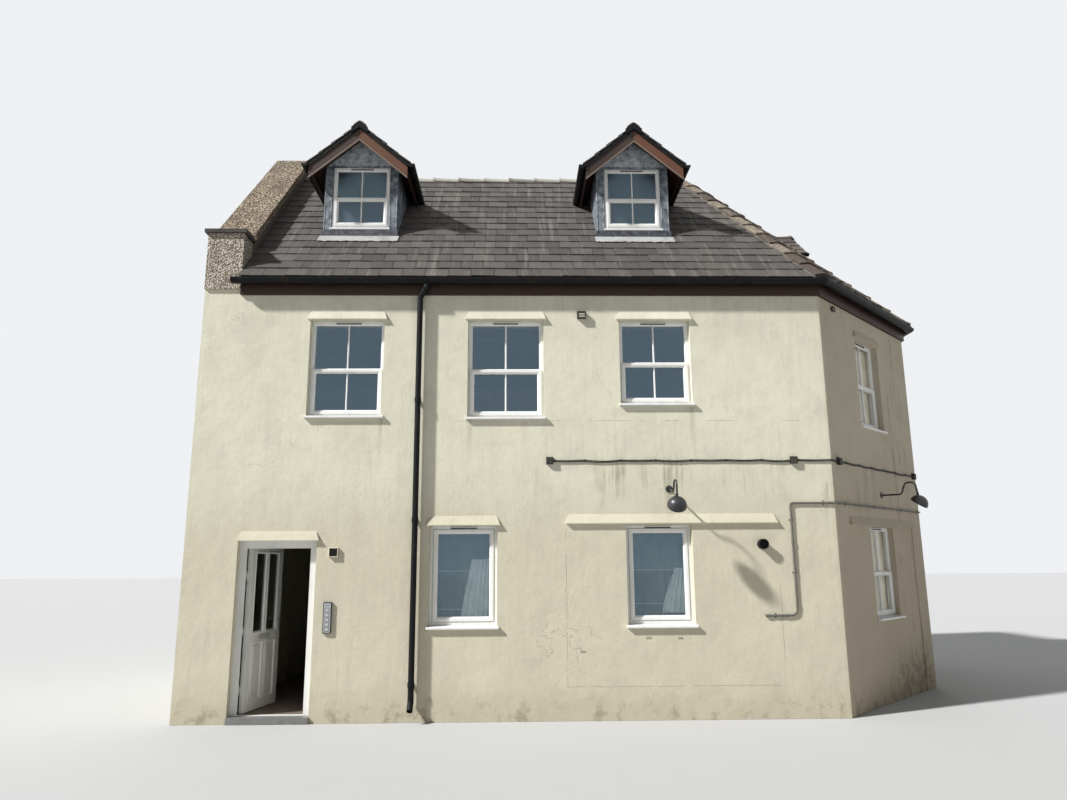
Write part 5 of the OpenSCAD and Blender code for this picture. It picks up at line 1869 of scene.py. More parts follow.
@dataclass
class Curtains:
    """The curtains of the ground floor and the splay."""

    fold: float = 0.006
    net_fold: float = 0.11
    net_span: Point2 = (0.03, 0.97)
    corner_span: Point2 = (0.02, 0.96)
    corner_y: float = 0.172
    swag_y: float = 0.188
    wire_share: float = 0.6
    rod_share: float = 0.7
    rods: Tuple[Point2, ...] = ((0.54, 0.155), (0.54, 0.20))

    def build(self) -> None:
        """Makes the wires and the cloth."""
        front, splay = PLAN.front().place(), PLAN.splay().place()
        x = (PLAN.splay_w - Glazing.other_w) / 2
        left, right = Glazing.ground
        nets = [Curtain(f"{side}_net", front, *o, *self.net_span, SHADED_GREY_NET, fold=self.fold,
                        fold_length=self.net_fold) for side, o in (("left", left), ("right", right))]
        corner = [Curtain(f"{name}_corner_curtain", splay, x, z, Glazing.other_w, height, *self.corner_span,
                          BEIGE_NET, fold=self.fold, wire_y=self.corner_y)
                  for name, (z, height) in zip(("upper", "lower"), Glazing.other_heights)]
        swags = [
            Curtain("left_swag", front, *left, 0.46, 0.93, NET, lean=0.16, low=0.03, high=0.66,
                    wire_y=self.swag_y),
            Curtain("right_swag", front, *right, 0.54, 0.93, NET, lean=0.22, low=0.10, high=0.56,
                    wire_y=self.swag_y)]
        wires = Shape()
        for curtain in nets + corner:
            head = curtain.z + curtain.height - curtain.wire_down
            curtain.wire(wires, head, curtain.wire_r * self.wire_share)
        for swag, heights in zip(swags, self.rods):
            for share in heights:
                swag.wire(wires, swag.z + share * swag.height, swag.wire_r * self.rod_share)
        wires.piece("curtain_wires", PEARL, "net", stands_for=["net_curtains"], smooth=True)
        for curtain in nets + corner + swags:
            curtain.cloth()


@dataclass
class FrontDoor:
    """The white front door, drawn shut and then turned to stand open."""

    hinge: Point2 = (0.715, 0.175)
    open_by: float = 79.0
    x: float = 0.728
    width: float = 0.804
    front: float = 0.110
    back: float = 0.165
    foot: float = 0.09
    head: float = 2.037
    stile: float = 0.115
    mid_rail: Point2 = (0.885, 1.010)
    gap: float = 0.07
    top_rail: float = 0.06
    foot_rail: float = 0.125
    bead_profile: Outline = (
        (-0.020, 0.0), (-0.017, -0.004), (-0.008, -0.006), (-0.002, -0.004), (0.004, 0.002), (0.012, 0.010),
        (0.012, 0.016), (-0.020, 0.006))
    field_steps: Outline = (
        (-0.002, 0.027), (-0.002, 0.012), (0.030, 0.012), (0.048, 0.004), (0.052, 0.003))
    knuckles_at: Point3 = (0.11, 0.46, 0.80)
    knuckle_h: float = 0.036
    knuckle: Outline = ((0.0054, 0.0), (0.0088, 0.0), (0.009, 0.0006))
    letter: Tuple[Point3, ...] = ((0.140, 0.030, 0.004), (0.126, 0.019, 0.008))
    handle_z: float = 1.14
    handle_plate: Point4 = (0.015, 0.150, 0.070, 0.008)
    lever_r: float = 0.0085
    lever: Tuple[Point3, ...] = (
        (0.0, 0.004, 0.0), (0.0, 0.026, 0.0), (0.003, 0.036, 0.0), (0.011, 0.041, 0.0), (0.030, 0.042, 0.0),
        (0.075, 0.041, 0.0), (0.108, 0.037, 0.001))
    lock_down: float = 0.092
    lock: Outline = ((0.0, 0.0), (0.0085, 0.0), (0.0085, 0.0065), (0.0075, 0.0075), (0.0, 0.0075))

    def place(self) -> Matrix:
        """The matrix that turns the shut door open."""
        hinge = Vector((*self.hinge, 0))
        return Matrix.Translation(hinge) @ spin(self.open_by, "Z") @ Matrix.Translation(-hinge)

    def panes(self) -> List[Point2]:
        """Gives the left and right edge of each light."""
        width = (self.width - 2 * self.stile - self.gap) / 2
        first = self.x + self.stile
        second = first + width + self.gap
        return [(first, first + width), (second, second + width)]

    def build(self) -> None:
        """Makes the leaf and its furniture."""
        place, leaf = self.place(), Shape()
        end = self.x + self.width
        near, far = self.x + self.stile, end - self.stile
        middle = (self.panes()[0][1], self.panes()[1][0])
        low_rail, top_rail = self.foot + self.foot_rail, self.head - self.top_rail
        mid_foot, mid_head = self.mid_rail
        for left, right, foot, head in (
                (self.x, near, self.foot, self.head), (far, end, self.foot, self.head),
                (near, far, self.foot, low_rail), (near, far, top_rail, self.head),
                (near, far, mid_foot, mid_head), (*middle, mid_head, top_rail),
                (*middle, low_rail, mid_foot)):
            leaf.block((left, self.front, foot), (right, self.back, head), place)
        for left, right in self.panes():
            light, panel = ((left, mid_head), (right, top_rail)), ((left, low_rail), (right, mid_foot))
            for face, sign in ((self.front, 1), (self.back, -1)):
                for corners in (light, panel):
                    leaf.framed(*corners, [(a, face + sign * b) for a, b in self.bead_profile], place)
                self.field(leaf, *panel, face, sign)
        leaf.piece("door_leaf_dressed", WHITE_FRAME, "white_frame", Body.DOOR, bevel=0.0018,
                   stands_for=["door_leaf"])
        self.knuckles()
        self.furniture()

    def field(self, shape: Shape, low: Point2, high: Point2, face: float, sign: int) -> None:
        """Adds a sunk panel with a raised field.

        Args:
            shape: The mesh to add to.
            low: The panel's lowest corner.
            high: The panel's highest corner.
            face: The depth of the leaf's face.
            sign: 1 on the outside, -1 on the inside.
        """
        rings = []
        for inside, depth in self.field_steps:
            y = face + sign * depth
            left, right = low[0] + inside, high[0] - inside
            foot, head = low[1] + inside, high[1] - inside
            rings.append([(left, y, foot), (right, y, foot), (right, y, head), (left, y, head)])
        shape.rings(rings, self.place())

    def knuckles(self) -> None:
        """Makes the hinges' knuckles that turn with the leaf."""
        shape, place = Shape(), self.place()
        x, y = self.hinge
        tall = self.knuckle_h
        profile = [*self.knuckle, *((r, tall - up) for r, up in reversed(self.knuckle))]
        for share in self.knuckles_at:
            z = self.foot + share * (self.head - self.foot) + 0.032
            shape.turned(profile, place @ shift(x, y, z))
            shape.block((x + 0.006, self.back - 0.001, z), (x + 0.048, y - 0.002, z + tall), place)
        shape.piece("door_knuckles", WHITE_FRAME, "white_frame", Body.DOOR, smooth=True,
                    stands_for=["door_leaf"])

    def furniture(self) -> None:
        """Makes the handles, the lock and the letter plate."""
        letter, shape, place = Shape(), Shape(), self.place()
        rail_mid, middle = sum(self.mid_rail) / 2, self.x + self.width / 2
        for half_w, half_h, out in self.letter:
            letter.block((middle - half_w, self.front - out, rail_mid - half_h),
                         (middle + half_w, self.front, rail_mid + half_h), place)
        x, z = self.x + self.width - self.stile / 2, self.handle_z
        half_w, down, up, thick = self.handle_plate
        for face, sign in ((self.front, -1), (self.back, 1)):
            low_y, high_y = sorted((face, face + sign * thick))
            shape.block((x - half_w, low_y, z - down), (x + half_w, high_y, z + up), place)
            shape.tube([(x - along, face + sign * out, z - drop) for along, out, drop in self.lever],
                       self.lever_r, place, 14)
            out = shift(x, face + sign * 0.004, z - self.lock_down) @ spin(-90 * sign, "X")
            shape.turned(self.lock, place @ out, 20)
        letter.piece("letter_plate", SATIN, "furniture", Body.DOOR, bevel=0.0012,
                     stands_for=["door_furniture"])
        shape.piece("door_furniture_dressed", CHROME, "furniture", Body.DOOR, bevel=0.0012, smooth=True,
                    stands_for=["door_furniture"])


@dataclass
class DormerTrim:
    """Lead work, aprons and boards of the dormers."""

    dormers: List[Dormer]
    seam: Outline = (
        (-0.008, 0.0), (-0.006, -0.004), (0.0, -0.0065), (0.006, -0.004), (0.008, 0.0), (0.0, 0.003))
    corner_in: float = 0.010
    window_out: float = 0.014
    cheek_seams: Point2 = (0.34, 0.72)
    least_seam: float = 0.08
    apron_over: float = 0.040
    apron_drop: float = 0.13
    apron_steps: int = 44
    board_h: float = 0.13
    board_t: float = 0.030
    verge_over: float = 0.004
    block_up: float = 0.056
    block_half: float = 0.118
    block_h: float = 0.085

    def build(self) -> None:
        """Makes the trim of all the dormers."""
        welts, bands, upstands, verges, beads = Shape(), Shape(), Shape(), Shape(), Shape()
        boards = {-1: Shape(), 1: Shape()}
        for dormer in self.dormers:
            self.welts(welts, dormer)
            self.apron(bands, upstands, dormer)
            for hand, board in boards.items():
                self.barge(board, verges, beads, dormer, hand)
            self.ridge_end(verges, dormer)
        for name, shape, finish, slot in (
                ("dormer_lead_welts", welts, LEAD, "lead"),
                ("dormer_aprons_dressed", bands, PALE_LEAD, "apron"),
                # The upstands take the near-black lead of painted shade under the sills.
                ("dormer_upstands", upstands, UPSTAND_SHADE_LEAD, "lead")):
            shape.piece(name, finish, slot, smooth=True, stands_for=["dormer_aprons"])
        # The left boards take the painted-shade copy of the paint, the right boards the painted-sunlit copy.
        for side, hand, finish in (("left", -1, SHADED_BARGE), ("right", 1, SUNLIT_BARGE)):
            boards[hand].piece(f"barge_boards_{side}", finish, "brown_paint", bevel=0.002,
                               stands_for=["barge_boards"])
        beads.piece("barge_beads", BEAD_PAINT, "brown_paint", bevel=0.001)
        verges.piece("dormer_verges", BLACK_PLASTIC, "black_plastic", bevel=0.002)

    def welts(self, shape: Shape, dormer: Dormer) -> None:
        """Adds folded lead seams on the face and the cheeks.

        Args:
            shape: The mesh to add to.
            dormer: The dormer.
        """
        place, face, head = dormer.place(), dormer.inset, dormer.head_z
        half, window = dormer.width / 2, dormer.window_w / 2
        cheek_top = dormer.ridge_z - dormer.under_ridge - half * dormer.slant
        foot = PLAN.eaves_z + face
        for x, top in ((-half + self.corner_in, cheek_top), (half - self.corner_in, cheek_top),
                       (-window - self.window_out, head + 0.02), (window + self.window_out, head + 0.02)):
            shape.rings([[(x + a, face + b, z) for a, b in self.seam]
                         for z in (foot + 0.01, top - 0.004)], place)
        shape.rings([[(x, face + b, head + 0.024 + a) for a, b in self.seam]
                     for x in (-window - 0.02, window + 0.02)], place)
        for hand in (-1, 1):
            for y in (face + depth for depth in self.cheek_seams):
                foot, top = PLAN.eaves_z + y + 0.015, cheek_top - 0.01
                if top - foot > self.least_seam:
                    shape.rings([[(hand * (half - b), y + a, z) for a, b in self.seam]
                                 for z in (foot, top)], place)

    def apron(self, band: Shape, upstand: Shape, dormer: Dormer) -> None:
        """Adds the lead apron, dressed over the tiles below the window, and the upstand behind it.

        Args:
            band: The mesh of the pale band on the tiles.
            upstand: The mesh of the upstand, near-black as painted shade under the sill.
            dormer: The dormer.
        """
        chance = random.Random(round(dormer.centre * 100))
        slope = dormer.wall.place() @ shift(dormer.centre, 0, PLAN.eaves_z) @ spin(PLAN.pitch, "X")
        half = dormer.width / 2 + self.apron_over
        head = dormer.inset / math.cos(math.radians(PLAN.pitch))
        foot = head - self.apron_drop / math.cos(math.radians(PLAN.pitch))
        rings, back = [], []
        for k in range(self.apron_steps + 1):
            u = -half + 2 * half * k / self.apron_steps
            wave = 0.003 * math.sin(k * 1.3) + chance.uniform(-0.001, 0.001)
            edge = foot + 0.005 * math.sin(k * 0.9) + chance.uniform(-0.006, 0.006)
            over = [(u, edge, 0.035 + wave), (u, edge + 0.006, 0.041 + wave),
                    (u, (edge + head) / 2, 0.041 - wave), (u, head - 0.006, 0.040)]
            rings.append(over + [(a, b + 0.002, h - 0.004) for a, b, h in reversed(over)])
            rise = [(u * 0.955, head + up, h) for up, h in ((-0.008, 0.039), (0.010, 0.054), (0.062, 0.106))]
            back.append(rise + [(a, b + 0.003, h - 0.003) for a, b, h in reversed(rise)])
        band.rings(rings, slope)
        upstand.rings(back, slope)

    def barge(self, board: Shape, verge: Shape, bead: Shape, dormer: Dormer, hand: int) -> None:
        """Adds a barge board with the black verge strip over it and the bead along its foot.

        Args:
            board: The mesh of the boards.
            verge: The mesh of the strips.
            bead: The mesh of the beads.
            dormer: The dormer.
            hand: 1 for the board on the +x side, -1 for the other.
        """
        front = dormer.inset - dormer.over
        under = dormer.ridge_z - dormer.under_ridge
        depth = self.board_h / math.cos(math.radians(dormer.pitch))
        for shape, top, foot, near, far in (
                (board, 0.0, -depth, 0.0, self.board_t), (verge, 0.050, -0.006, -0.014, 0.003),
                (bead, 0.010 - depth, -0.006 - depth, -0.005, 0.022)):
            inner = hand * 0.0006
            outer = hand * (dormer.half + (self.verge_over if shape is verge else 0.0))
            drop = abs(outer) * dormer.slant
            outline = [(inner, under + top), (outer, under - drop + top), (outer, under - drop + foot),
                       (inner, under + foot)]
            shape.prism(outline, front + near, front + far, Axis.Y, dormer.place())

    def ridge_end(self, shape: Shape, dormer: Dormer) -> None:
        """Adds the folded block that closes the end of the ridge.

        Args:
            shape: The mesh to add to.
            dormer: The dormer.
        """
        front = dormer.inset - dormer.over
        crown, half, deep = dormer.ridge_z + self.block_up, self.block_half, self.block_h
        side = crown - half * dormer.slant
        outline = [(0.0, crown), (half, side), (half, side - deep), (0.0, crown - deep - 0.02),
                   (-half, side - deep), (-half, side)]
        shape.prism(outline, front - 0.032, front + 0.020, Axis.Y, dormer.place())


@dataclass
class LampBulbs:
    """The bulbs under the shades of the two wall lamps."""

    z: float = 2.73
    front_x: float = 5.97
    splay_x: float = 1.60
    droop: float = 12.0
    out: float = 0.48
    drop: float = 0.14
    tip: float = 35.0
    steps: int = 28
    profile: Outline = (
        (0.0, 0.108), (0.014, 0.108), (0.014, 0.070), (0.018, 0.055), (0.029, 0.036), (0.032, 0.020),
        (0.029, 0.004), (0.019, -0.008), (0.008, -0.013), (0.0, -0.014))

    def build(self) -> None:
        """Makes both bulbs."""
        shape = Shape()
        for wall, x, droop in ((PLAN.front(), self.front_x, self.droop), (PLAN.splay(), self.splay_x, 0.0)):
            bracket = wall.place() @ shift(x, -0.004, self.z) @ spin(droop, "X")
            shape.turned(self.profile, bracket @ shift(0, -self.out, -self.drop) @ spin(self.tip, "X"),
                         self.steps)
        shape.piece("lamp_bulbs", PEARL, "lamp", smooth=True)


@dataclass
class EntryPanel:
    """The bare entry panel: a dark case, a steel plate, slots and plain square buttons."""

    left: float = 1.73
    low: float = 1.02
    wide: float = 0.10
    high: float = 0.365
    back: float = -0.025
    rim: Outline = ((0.002, -0.024), (0.002, -0.030), (0.010, -0.030), (0.010, -0.024))
    slots: int = 4
    slot_step: float = 0.009
    rows: int = 5
    row_step: float = 0.056

    def build(self) -> None:
        """Makes the case, the plate and the buttons."""
        case, plate, buttons = Shape(), Shape(), Shape()
        left, low, back = self.left, self.low, self.back
        right, top = left + self.wide, low + self.high
        case.block((left, -0.026, low), (right, 0, top))
        case.framed((left, low), (right, top), self.rim)
        plate.block((left + 0.010, -0.028, low + 0.010), (right - 0.010, back, top - 0.010))
        for k in range(self.slots):
            z = top - 0.050 + self.slot_step * k
            case.block((left + 0.028, -0.0286, z), (left + 0.072, back, z + 0.003))
        for row in range(self.rows):
            z = low + 0.022 + row * self.row_step
            case.block((left + 0.024, -0.0292, z), (left + 0.076, back, z + 0.050))
            buttons.block((left + 0.029, -0.0300, z + 0.005), (left + 0.071, back, z + 0.045))
        case.piece("entry_panel_case", ENAMEL, "steel", bevel=0.0015, stands_for=["entry_panel"])
        plate.piece("entry_panel_plate", BRUSHED, "steel", stands_for=["entry_panel"])
        buttons.piece("entry_panel_buttons", SATIN, "steel", bevel=0.0012)


@dataclass
class WallVents:
    """The small grille, the boxed vent under the eaves and the round flue."""

    grille_at: Point2 = (1.765, 1.915)
    grille_size: float = 0.115
    grille_rim: Outline = (
        (0.0, 0.0), (0.0, -0.030), (0.003, -0.035), (0.008, -0.035), (0.010, -0.030), (0.010, 0.0))
    grille_slat: Outline = ((-0.029, 0.0), (-0.026, 0.0), (-0.012, 0.013), (-0.015, 0.013))
    box_at: Point2 = (4.85, 4.95)
    box_size: Point2 = (0.115, 0.095)
    box_rim: Outline = (
        (0.0, 0.0), (0.0, -0.052), (0.004, -0.060), (0.012, -0.060), (0.016, -0.050), (0.016, 0.0))
    box_slat: Outline = ((-0.056, 0.0), (-0.053, 0.0), (-0.040, 0.018), (-0.043, 0.018))
    flue_at: Point2 = (7.10, 2.046)
    flue: Outline = (
        (0.050, 0.0), (0.062, 0.0), (0.062, 0.012), (0.056, 0.016), (0.056, 0.060), (0.062, 0.064),
        (0.062, 0.086), (0.059, 0.090), (0.052, 0.090), (0.050, 0.084), (0.050, 0.004))
    flue_stop: Outline = ((0.0, 0.056), (0.0505, 0.056), (0.0505, 0.062), (0.020, 0.068), (0.0, 0.070))
    spokes: int = 5
    grille_bars: int = 5
    box_bars: int = 3

    @staticmethod
    def slats(shape: Shape, section: Outline, left: float, right: float, heights: Iterable[float]) -> None:
        """Adds slats of one sloping section between two ends, one at each height."""
        for z in heights:
            shape.prism([(y, z + up) for y, up in section], left, right, Axis.X)

    def build(self) -> None:
        """Makes the vents."""
        grille, box, flue, dark = Shape(), Shape(), Shape(), Shape()
        (left, low), size = self.grille_at, self.grille_size
        right, top = left + size, low + size
        grille.framed((left, low), (right, top), self.grille_rim)
        # The grille's louvres and the plate behind them are near-black: painted shade for the dark inside of
        # the vent.
        self.slats(dark, self.grille_slat, left + 0.009, right - 0.009,
                   (low + 0.016 + 0.0175 * k for k in range(self.grille_bars)))
        dark.block((left + 0.008, -0.008, low + 0.008), (right - 0.008, 0.0, top - 0.008))
        (left, low), (wide, high) = self.box_at, self.box_size
        dark.framed((left, low), (left + wide, low + high), self.box_rim)
        self.slats(box, self.box_slat, left + 0.014, left + wide - 0.014,
                   (low + 0.017 + 0.021 * k for k in range(self.box_bars)))
        box.block((left + 0.010, -0.034, low + 0.010), (left + wide - 0.010, 0.0, low + high - 0.010))
        turn = shift(self.flue_at[0], 0, self.flue_at[1]) @ spin(90, "X")
        flue.turned(self.flue, turn, 40)
        flue.turned(self.flue_stop, turn, 40)
        for k in range(self.spokes):
            spoke = turn @ shift(0, 0, 0.080) @ Matrix.Rotation(math.pi * k / self.spokes, 4, "Z")
            flue.block((-0.052, -0.0015, -0.004), (0.052, 0.0015, 0.004), spoke)
        grille.piece("small_grille", VENT_PLASTIC, "vent", bevel=0.0008, stands_for=["wall_vents"])
        box.piece("boxed_vent", VENT_PLASTIC, "vent", bevel=0.001, stands_for=["wall_vents"])
        flue.piece("round_flue", BLACK_PLASTIC, "vent", smooth=True, stands_for=["wall_vents"])
        dark.piece("vent_throats", ENAMEL, "vent", bevel=0.001, stands_for=["wall_vents"])


@dataclass
class GutterUnions:
    """The unions that join the gutter's lengths on the front and the splay."""

    radii: Point2 = (0.0685, 0.0595)
    centre_y: float = -0.125
    rim_z: float = 5.457
    half: float = 0.035
    steps: int = 18
    front_at: Point3 = (1.9, 4.75, 6.9)
    splay_at: float = 1.55

    def build(self) -> None:
        """Makes the unions."""
        shape = Shape()
        outer, inner = ([
            (self.centre_y + r * math.cos(math.pi + math.pi * k / self.steps),
             self.rim_z + r * math.sin(math.pi + math.pi * k / self.steps)) for k in range(self.steps + 1)]
            for r in self.radii)
        section = outer + inner[::-1]
        for wall, places in ((PLAN.front(), self.front_at), (PLAN.splay(), (self.splay_at,))):
            for x in places:
                shape.prism(section, x - self.half, x + self.half, Axis.X, wall.place())
        shape.piece("gutter_unions", BLACK_PLASTIC, "black_plastic", bevel=0.001, smooth=True)


@dataclass
class WallEye:
    """The old iron eye below the eaves of the splay."""

    x: float = 0.42
    z: float = 5.19
    plate: Outline = ((0.0, 0.0), (0.038, 0.0), (0.038, 0.006), (0.030, 0.011), (0.0, 0.013))
    ring_r: float = 0.036
    ring_out: float = 0.030
    ring_drop: float = 0.010
    ring_steps: int = 24
    wire_r: float = 0.0075

    def build(self) -> None:
        """Makes the plate, the ring and its staple."""
        shape = Shape()
        place = PLAN.splay().place() @ shift(self.x, 0.0, self.z)
        shape.turned(self.plate, place @ spin(90, "X"), 28)
        turns = [2 * math.pi * k / self.ring_steps for k in range(self.ring_steps - 1)]
        shape.tube([(self.ring_r * math.sin(turn), -self.ring_out,
                     self.ring_r * math.cos(turn) - self.ring_drop) for turn in turns],
                   self.wire_r, place, 10)
        shape.tube([(0.0, -0.006, 0.026), (0.0, -0.034, 0.026)], 0.010, place, 12)
        shape.piece("wall_eye", CABLE, "conduit", smooth=True)


def turning_points(out: float) -> Tuple[Point2, Point2]:
    """Gives the plan points where a line at a distance off the walls turns onto the splay and ends."""
    splay = PLAN.splay()
    return PLAN.cross(PLAN.front(), -out, splay, -out), PLAN.cross(splay, -out, PLAN.side(), 0.0)


def rounded(points: Sequence[Point3], radius: float, steps: int = 6) -> List[Vector]:
    """Rounds the corners of a path.

    Args:
        points: The path's corners.
        radius: How far before and after a corner the bend runs.
        steps: The number of steps in a bend.

    Returns:
        The points of the rounded path.
    """
    line = [Vector(p) for p in points]
    path = [line[0]]
    for before, here, after in zip(line, line[1:], line[2:]):
        enter = here + (before - here).normalized() * radius
        leave = here + (after - here).normalized() * radius
        for k in range(steps + 1):
            t = k / steps
            path.append(enter * (1 - t) ** 2 + here * (2 * t * (1 - t)) + leave * t ** 2)
    return path + [line[-1]]


@dataclass
class TwinCable:
    """The twin cable along the front and the splay, a little slack between its clips, and its boxes."""

    z: float = 3.09
    out: float = 0.013
    start_x: float = 4.47
    clip_every: float = 0.46
    span_steps: int = 5
    sag: Point2 = (0.004, 0.016)
    clip: Outline = ((0.0, -0.018), (-0.022, -0.012), (-0.024, 0.0), (-0.022, 0.012), (0.0, 0.018))
    strand_r: float = 0.0066
    strand_up: float = 0.0068
    front_boxes: Point2 = (4.43, 7.52)
    splay_boxes: Point2 = (0.16, 2.90)
    box_case: Tuple[Point3, Point3] = ((0.0, -0.036, -0.045), (0.09, 0.0, 0.045))
    box_lid: Tuple[Point3, Point3] = ((0.003, -0.045, -0.042), (0.087, -0.037, 0.042))
    screws: Tuple[Point2, ...] = ((0.014, -0.031), (0.076, 0.031))
    screw: Outline = ((0.0, 0.0), (0.005, 0.0), (0.0042, 0.0018), (0.0, 0.0022))

    def build(self) -> None:
        """Makes the cable, its clips and its boxes."""
        strands, clips = Shape(), Shape()
        chance = random.Random(8)
        corner, end = turning_points(self.out)
        middle: List[Vector] = []
        for start, stop, wall in (
                ((self.start_x, -self.out), corner, PLAN.front()), (corner, end, PLAN.splay())):
            count = round(math.dist(start, stop) / self.clip_every)
            for span in range(count):
                sag = chance.uniform(*self.sag)
                for k in range(self.span_steps):
                    t = (span + k / self.span_steps) / count
                    x, y = (a + (b - a) * t for a, b in zip(start, stop))
                    middle.append(Vector((x, y, self.z - sag * math.sin(math.pi * k / self.span_steps))))
                if span:
                    along = wall.inside(middle[-self.span_steps])[0]
                    clips.prism(self.clip, along - 0.007, along + 0.007, Axis.X,
                                wall.place() @ shift(0, 0, self.z))
        middle.append(Vector((*end, self.z)))
        for up in (-self.strand_up, self.strand_up):
            strands.tube([p + Vector((0, 0, up + chance.uniform(-0.001, 0.001))) for p in middle],
                         self.strand_r, steps=10)
        for wall, places in ((PLAN.front(), self.front_boxes), (PLAN.splay(), self.splay_boxes)):
            for along in places:
                self.box(clips, wall.place() @ shift(along, 0, self.z))
        strands.piece("twin_cable", CABLE, "cable", smooth=True, stands_for=["surface_cable"])
        clips.piece("cable_clips_and_boxes", CABLE, "cable", bevel=0.003, stands_for=["surface_cable"])

    def box(self, shape: Shape, place: Matrix) -> None:
        """Adds a box with its lid and screws.

        Args:
            shape: The mesh to add to.
            place: Where it goes.
        """
        for low, high in (self.box_case, self.box_lid):
            shape.block(low, high, place)
        for x, z in self.screws:
            shape.turned(self.screw, place @ shift(x, -0.0445, z) @ spin(90, "X"), 12)


@dataclass
class Conduit:
    """The bent steel conduit up the front and along the splay, with its couplers and saddles."""

    out: float = 0.016
    radius: float = 0.0125
    left: float = 7.09
    upright: float = 7.48
    foot_z: float = 1.19
    top_z: float = 2.55
    bends: Point3 = (0.09, 0.035, 0.02)
    sleeve: Outline = (
        (0.012, 0.0), (0.0155, 0.0), (0.016, 0.002), (0.016, 0.046), (0.0155, 0.048), (0.012, 0.048))
    saddle: Outline = (
        (0.0, -0.030), (-0.003, -0.030), (-0.006, -0.017), (-0.026, -0.013), (-0.031, -0.004),
        (-0.031, 0.004), (-0.026, 0.013), (-0.006, 0.017), (-0.003, 0.030), (0.0, 0.030))
    saddle_half: float = 0.009
    upright_saddles: Point2 = (1.70, 2.34)
    front_saddle: float = 7.90
    splay_saddles: Point4 = (0.1, 0.42, 0.75, 0.96)

    def build(self) -> None:
        """Makes the pipe with its sleeves, and the saddles."""
        pipe, straps = Shape(), Shape()
        y, left, upright, foot, top = -self.out, self.left, self.upright, self.foot_z, self.top_z
        corner, end = turning_points(self.out)
        paths = (
            [(left, y, foot), (upright, y, foot), (upright, y, foot + 0.3)],
            [(upright, y, top - 0.2), (upright, y, top), (upright + 0.2, y, top)],
            [(corner[0] - 0.2, y, top), (*corner, top), (*end, top)])
        pipe.tube([p for path, bend in zip(paths, self.bends) for p in rounded(path, bend)], self.radius,
                  steps=14)
        splay, lie = PLAN.splay().place(), spin(90, "Y")
        for place in (
                shift(left - 0.004, y, foot) @ lie, shift(upright - 0.155, y, foot) @ lie,
                shift(upright, y, foot + 0.10), shift(upright, y, 2.04),
                shift(corner[0] - 0.09, y, top) @ lie, splay @ shift(0.06, y, top) @ lie,
                splay @ shift(1.62, y, top) @ lie):
            pipe.turned(self.sleeve, place, 20)
        for place in (
                shift(left + 0.12, 0, foot), *(shift(upright, 0, z) @ lie for z in self.upright_saddles),
                shift(self.front_saddle, 0, top),
                *(splay @ shift(k * PLAN.splay_w, 0, top) for k in self.splay_saddles)):
            straps.prism(self.saddle, -self.saddle_half, self.saddle_half, Axis.X, place)
        pipe.piece("bent_conduit", GALVANISED, "conduit", smooth=True, stands_for=["conduit"])
        straps.piece("conduit_saddles", GALVANISED, "conduit", bevel=0.0008, stands_for=["conduit"])


